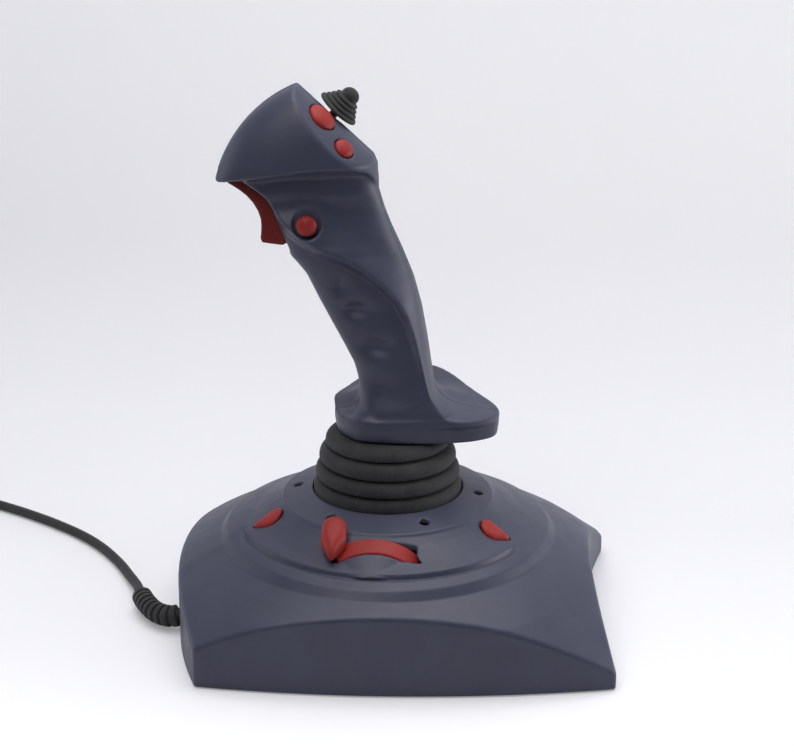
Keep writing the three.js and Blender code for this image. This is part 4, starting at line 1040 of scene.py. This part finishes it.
def make_thumb_button():
    radius, face_x = 4.5, -15.8
    stem = rounded([(0, -7), (3, -7), (3, -1.1), (radius, -0.9), (radius, 0.1)], 0.3)
    placing = Matrix.Translation((face_x, *THUMB_BUTTON)) @ Matrix.Rotation(-math.pi / 2, 4, "Y")
    cap = turned("thumb_button_cap", stem + dome(radius, -0.1, 2.7), 72, placing)
    dress(cap, "thumb_button", "red_control", "thumb_button")


HAT_RADIUS, HAT_HEIGHT, HAT_LIFT = 9.8, 12.1, 2.7
HAT_RIBS = [(9.7, 1.3), (8.3, 3.1), (7.0, 4.9), (5.8, 6.7)]      # radius and height of each rib's edge
HAT_TIP = (4.1, 8.4)             # radius of the round tip, and the height where it starts


def make_hat():
    profile = [(0, -8.1), (1.9, -8.1), (1.9, 0.9), (5.5, 0.9)]
    profile += [(HAT_RADIUS - 1.2, 0), (HAT_RADIUS - 0.2, 0.35)]
    for radius, height in HAT_RIBS:
        profile += [(radius, height - 0.5), (radius - 0.05, height), (radius - 0.5, height + 0.35)]
        profile += [(radius - 1.6, height + 0.6), (radius - 1.75, height + 1.0)]
    radius, height = HAT_TIP
    profile = rounded(profile, 0.25, 2) + dome(radius, height, HAT_HEIGHT - height, -0.15, 12)
    placing = face_frame(HAT_PLACE) @ Matrix.Translation((0, 0, HAT_LIFT))
    dress(turned("hat_rubber", profile, 96, placing, sharp=60), "hat", "black_rubber", "hat_cap")


TRIGGER_OUTLINE = [
    (69.6, 204.7), (66.7, 203), (63.9, 201.2), (61, 198.9), (58.2, 195.7), (56.2, 192.2), (55, 188.6),
    (54.8, 185.6), (55, 182.6), (55.3, 179.8), (54.5, 177.9), (45.4, 176.9), (42.6, 178.4), (42.2, 186),
    (46, 196), (53.2, 203.6), (53.4, 210.8), (57, 212.8), (60.6, 212.4), (63.4, 208.4),
]


def make_trigger():
    g = node_grid("trigger", 0.35)
    outline = polygon(g.y, g.z, TRIGGER_OUTLINE) + 0.7
    half = TRIGGER_WIDTH / 2
    # The finger side is slightly hollow across its width.
    hollow = 0.5 * np.cos(np.clip(g.x / half, -1, 1) * math.pi / 2) * smoothstep(50, 56, g.y)
    body = smooth_max(outline + hollow - 0.7, np.abs(g.x) - half, 1.8)
    pin = np.hypot(g.y - TRIGGER_PIVOT[0], g.z - TRIGGER_PIVOT[1])
    dress(surface("trigger_blade", g, meet(body, 1.8 - pin)), "trigger", "trigger_red", "trigger")


# ---------- cable

CABLE_RADIUS = 2.3
CABLE_PATH = [
    (-24, 76, 9.4), (-24, 84, 9.4), (-25.5, 91, 8.6), (-25, 98, 7.2), (-20, 105, 6.6), (-11, 111, 6.6),
    (0, 115.6, 6.0), (12.5, 119.6, 4.4), (26, 125.6, 3.0), (41, 133.2, 2.4), (58, 144.6, 2.4),
    (72.5, 157.6, 2.4), (86.4, 174, 2.4), (98.8, 191.4, 2.4), (108.4, 207, 2.4), (111, 212.4, 2.4),
]
STRAIN_END = 50.0                          # distance along the cable where the ribbed sleeve ends


def make_cable():
    step = 1.0
    centres = path_points(CABLE_PATH, step)
    cord = [(i, CABLE_RADIUS) for i in range(len(centres) - 1)]
    dress(swept("cable_cord", centres, cord, 24), "base", "black_rubber", "cable")
    start, ribs = 17.0, 9
    profile = [(start - 5, 3.0), (start - 5, 5.4), (start - 3.1, 5.5), (start - 3, 3.3), (start + 0.8, 3.3)]
    pitch = (STRAIN_END - start) / ribs
    for i in range(ribs):
        place, radius = start + 1.2 + i * pitch, 5.0 - 0.03 * i
        end = place + pitch - 0.8
        profile += [(place, radius - 1.4), (place + 0.25, radius - 0.2), (place + 0.5, radius)]
        profile += [(end - 0.5, radius), (end - 0.25, radius - 0.2), (end, radius - 1.4)]
    profile += [(STRAIN_END + 2.2, 3.0), (STRAIN_END + 2.6, 2.6)]
    sleeve = swept("strain_sleeve", centres, [(p / step, r) for p, r in profile], 40)
    dress(sleeve, "base", "black_rubber", "strain_relief")


# ---------- carried-over CAD nodes

def dress_carried_nodes():
    """The inner pieces keep their CAD shape and get the finish that their CAD material names."""
    for name, node in frame["nodes"].items():
        if name in REPLACED:
            continue
        mesh = node.data
        slot = "black_rubber" if name == "handle_wires" else mesh.materials[0].name
        mesh.materials.clear()
        mesh.materials.append(FINISH[slot])
        mesh.set_sharp_from_angle(angle=math.radians(30))


# ---------- stage, light and camera

def pale_paper():
    """Paper that the camera sees pale and nearly even, with a painted glow, and painted dark in front for light
    and reflections. Seen from behind, it is clear.
    """
    n = Nodes(bpy.data.materials.new("pale_paper"))
    tone = n.mix(n.ramp(n.noise(300, detail=3.0), 0.3, 0.7), (0.85, 0.855, 0.895, 1), (0.87, 0.875, 0.91, 1))
    # For light and reflections, the paper in front of the object is painted dark: painted shade that stands in for
    # a dark room there, while the camera still sees it pale.
    seen = n.seen()
    near, height = n.split(n.place, "X"), n.split(n.place, "Z")
    painted_front_shade = n.times(n.ramp(near, -0.20, -0.42), n.math("SUBTRACT", 1.0, seen))
    tone = n.mix(painted_front_shade, tone, (0.10, 0.10, 0.12, 1))
    # For the camera alone, the near floor and the top of the backdrop glow a little: a painted glow that makes
    # them lighter.
    painted_glow = n.math("ADD", n.ramp(near, 0.10, -0.18, 0.13, 0.34), n.ramp(height, 0.06, 0.2, 0.0, 0.14))
    n.set(
        Base_Color=tone, Roughness=0.9, Specular_IOR_Level=0.2,
        Emission_Color=(1.0, 1.0, 1.0, 1), Emission_Strength=n.times(painted_glow, seen),
    )
    clear = n.add("ShaderNodeBsdfTransparent")
    behind = n.times(n.add("ShaderNodeNewGeometry").outputs["Backfacing"], seen)
    blend = n.add("ShaderNodeMixShader")
    for socket, value in zip(blend.inputs, (behind, n.shader.outputs[0], clear.outputs[0])):
        n.feed(socket, value)
    n.feed(n.tree.nodes["Material Output"].inputs["Surface"], blend.outputs[0])
    return n.owner


def make_stage():
    """A pale floor that bends up into a backdrop."""
    start, bend, top = 260, 220, 1300
    profile = [(-3000, 0), (start, 0)]
    profile += [
        (start + bend * math.sin(a), bend - bend * math.cos(a)) for a in np.linspace(0.08, math.pi / 2, 18)
    ]
    profile.append((start + bend, top))
    points = [(x, y, z - 0.02) for x, z in profile for y in (-4000, 4000)]
    faces = [(i, i + 2, i + 3, i + 1) for i in range(0, len(points) - 2, 2)]
    floor = make_mesh("sweep", points, faces)
    floor.data.materials.append(pale_paper())


def look_from(thing, place, forward):
    """Puts a lamp or camera at a place, facing forward."""
    thing.location = place
    thing.rotation_mode = "QUATERNION"
    thing.rotation_quaternion = forward.to_track_quat("-Z", "Y")


# Name, place, target, size, power and colour; in metres and watts.
LAMPS = [
    ("overhead", (0.12, -0.10, 1.15), (0, 0, 0.08), (1.0, 1.0), 8.0, (1.0, 0.99, 0.98)),
    ("front_key", (-0.34, 0.16, 0.58), (0, 0.03, 0.22), (0.35, 0.35), 1.0, (1.0, 0.99, 0.98)),
    ("right_wall", (0.12, -1.15, 0.24), (0, 0, 0.14), (0.8, 0.45), 4.2, (1.0, 1.0, 1.0)),
    ("left_rim", (0.22, 1.2, 0.3), (0, 0, 0.14), (0.7, 0.5), 1.3, (0.93, 0.95, 1.0)),
]


def make_light():
    """A soft box overhead, a small key light in front, a pale panel on each side, a room dark in front."""
    n = Nodes(bpy.data.worlds.new("soft_room"), "Background")
    front = n.ramp(n.split(n.texture.outputs["Generated"], "X"), -0.5, 0.5, 0.05, 0.45)
    n.set(Color=(0.86, 0.89, 1.0, 1), Strength=n.ramp(n.seen(), 0.0, 1.0, front, 0.8))
    bpy.context.scene.world = n.owner
    for name, place, target, size, power, colour in LAMPS:
        light = bpy.data.lights.new(name, "AREA")
        light.shape = "RECTANGLE"
        light.size, light.size_y = size
        light.energy = power
        light.color = colour
        look_from(add_object(name, light), place, Vector(target) - Vector(place))


def make_camera():
    camera = bpy.data.cameras.new("camera")
    camera.lens = 91.46
    camera.sensor_width = 36
    camera.clip_start, camera.clip_end = 0.05, 20
    holder = add_object("camera", camera)
    look_from(holder, (-0.84728, -0.04714, 0.41409), Vector((0.94142, 0.04768, -0.33385)))
    bpy.context.scene.camera = holder


make_base_cover()
make_base_buttons()
make_feet()
make_screws()
make_throttle()
make_bellows()
make_handle()
make_head_buttons()
make_thumb_button()
make_hat()
make_trigger()
make_cable()
dress_carried_nodes()
make_stage()
make_light()
make_camera()
bpy.context.scene.view_settings.view_transform = "Standard"
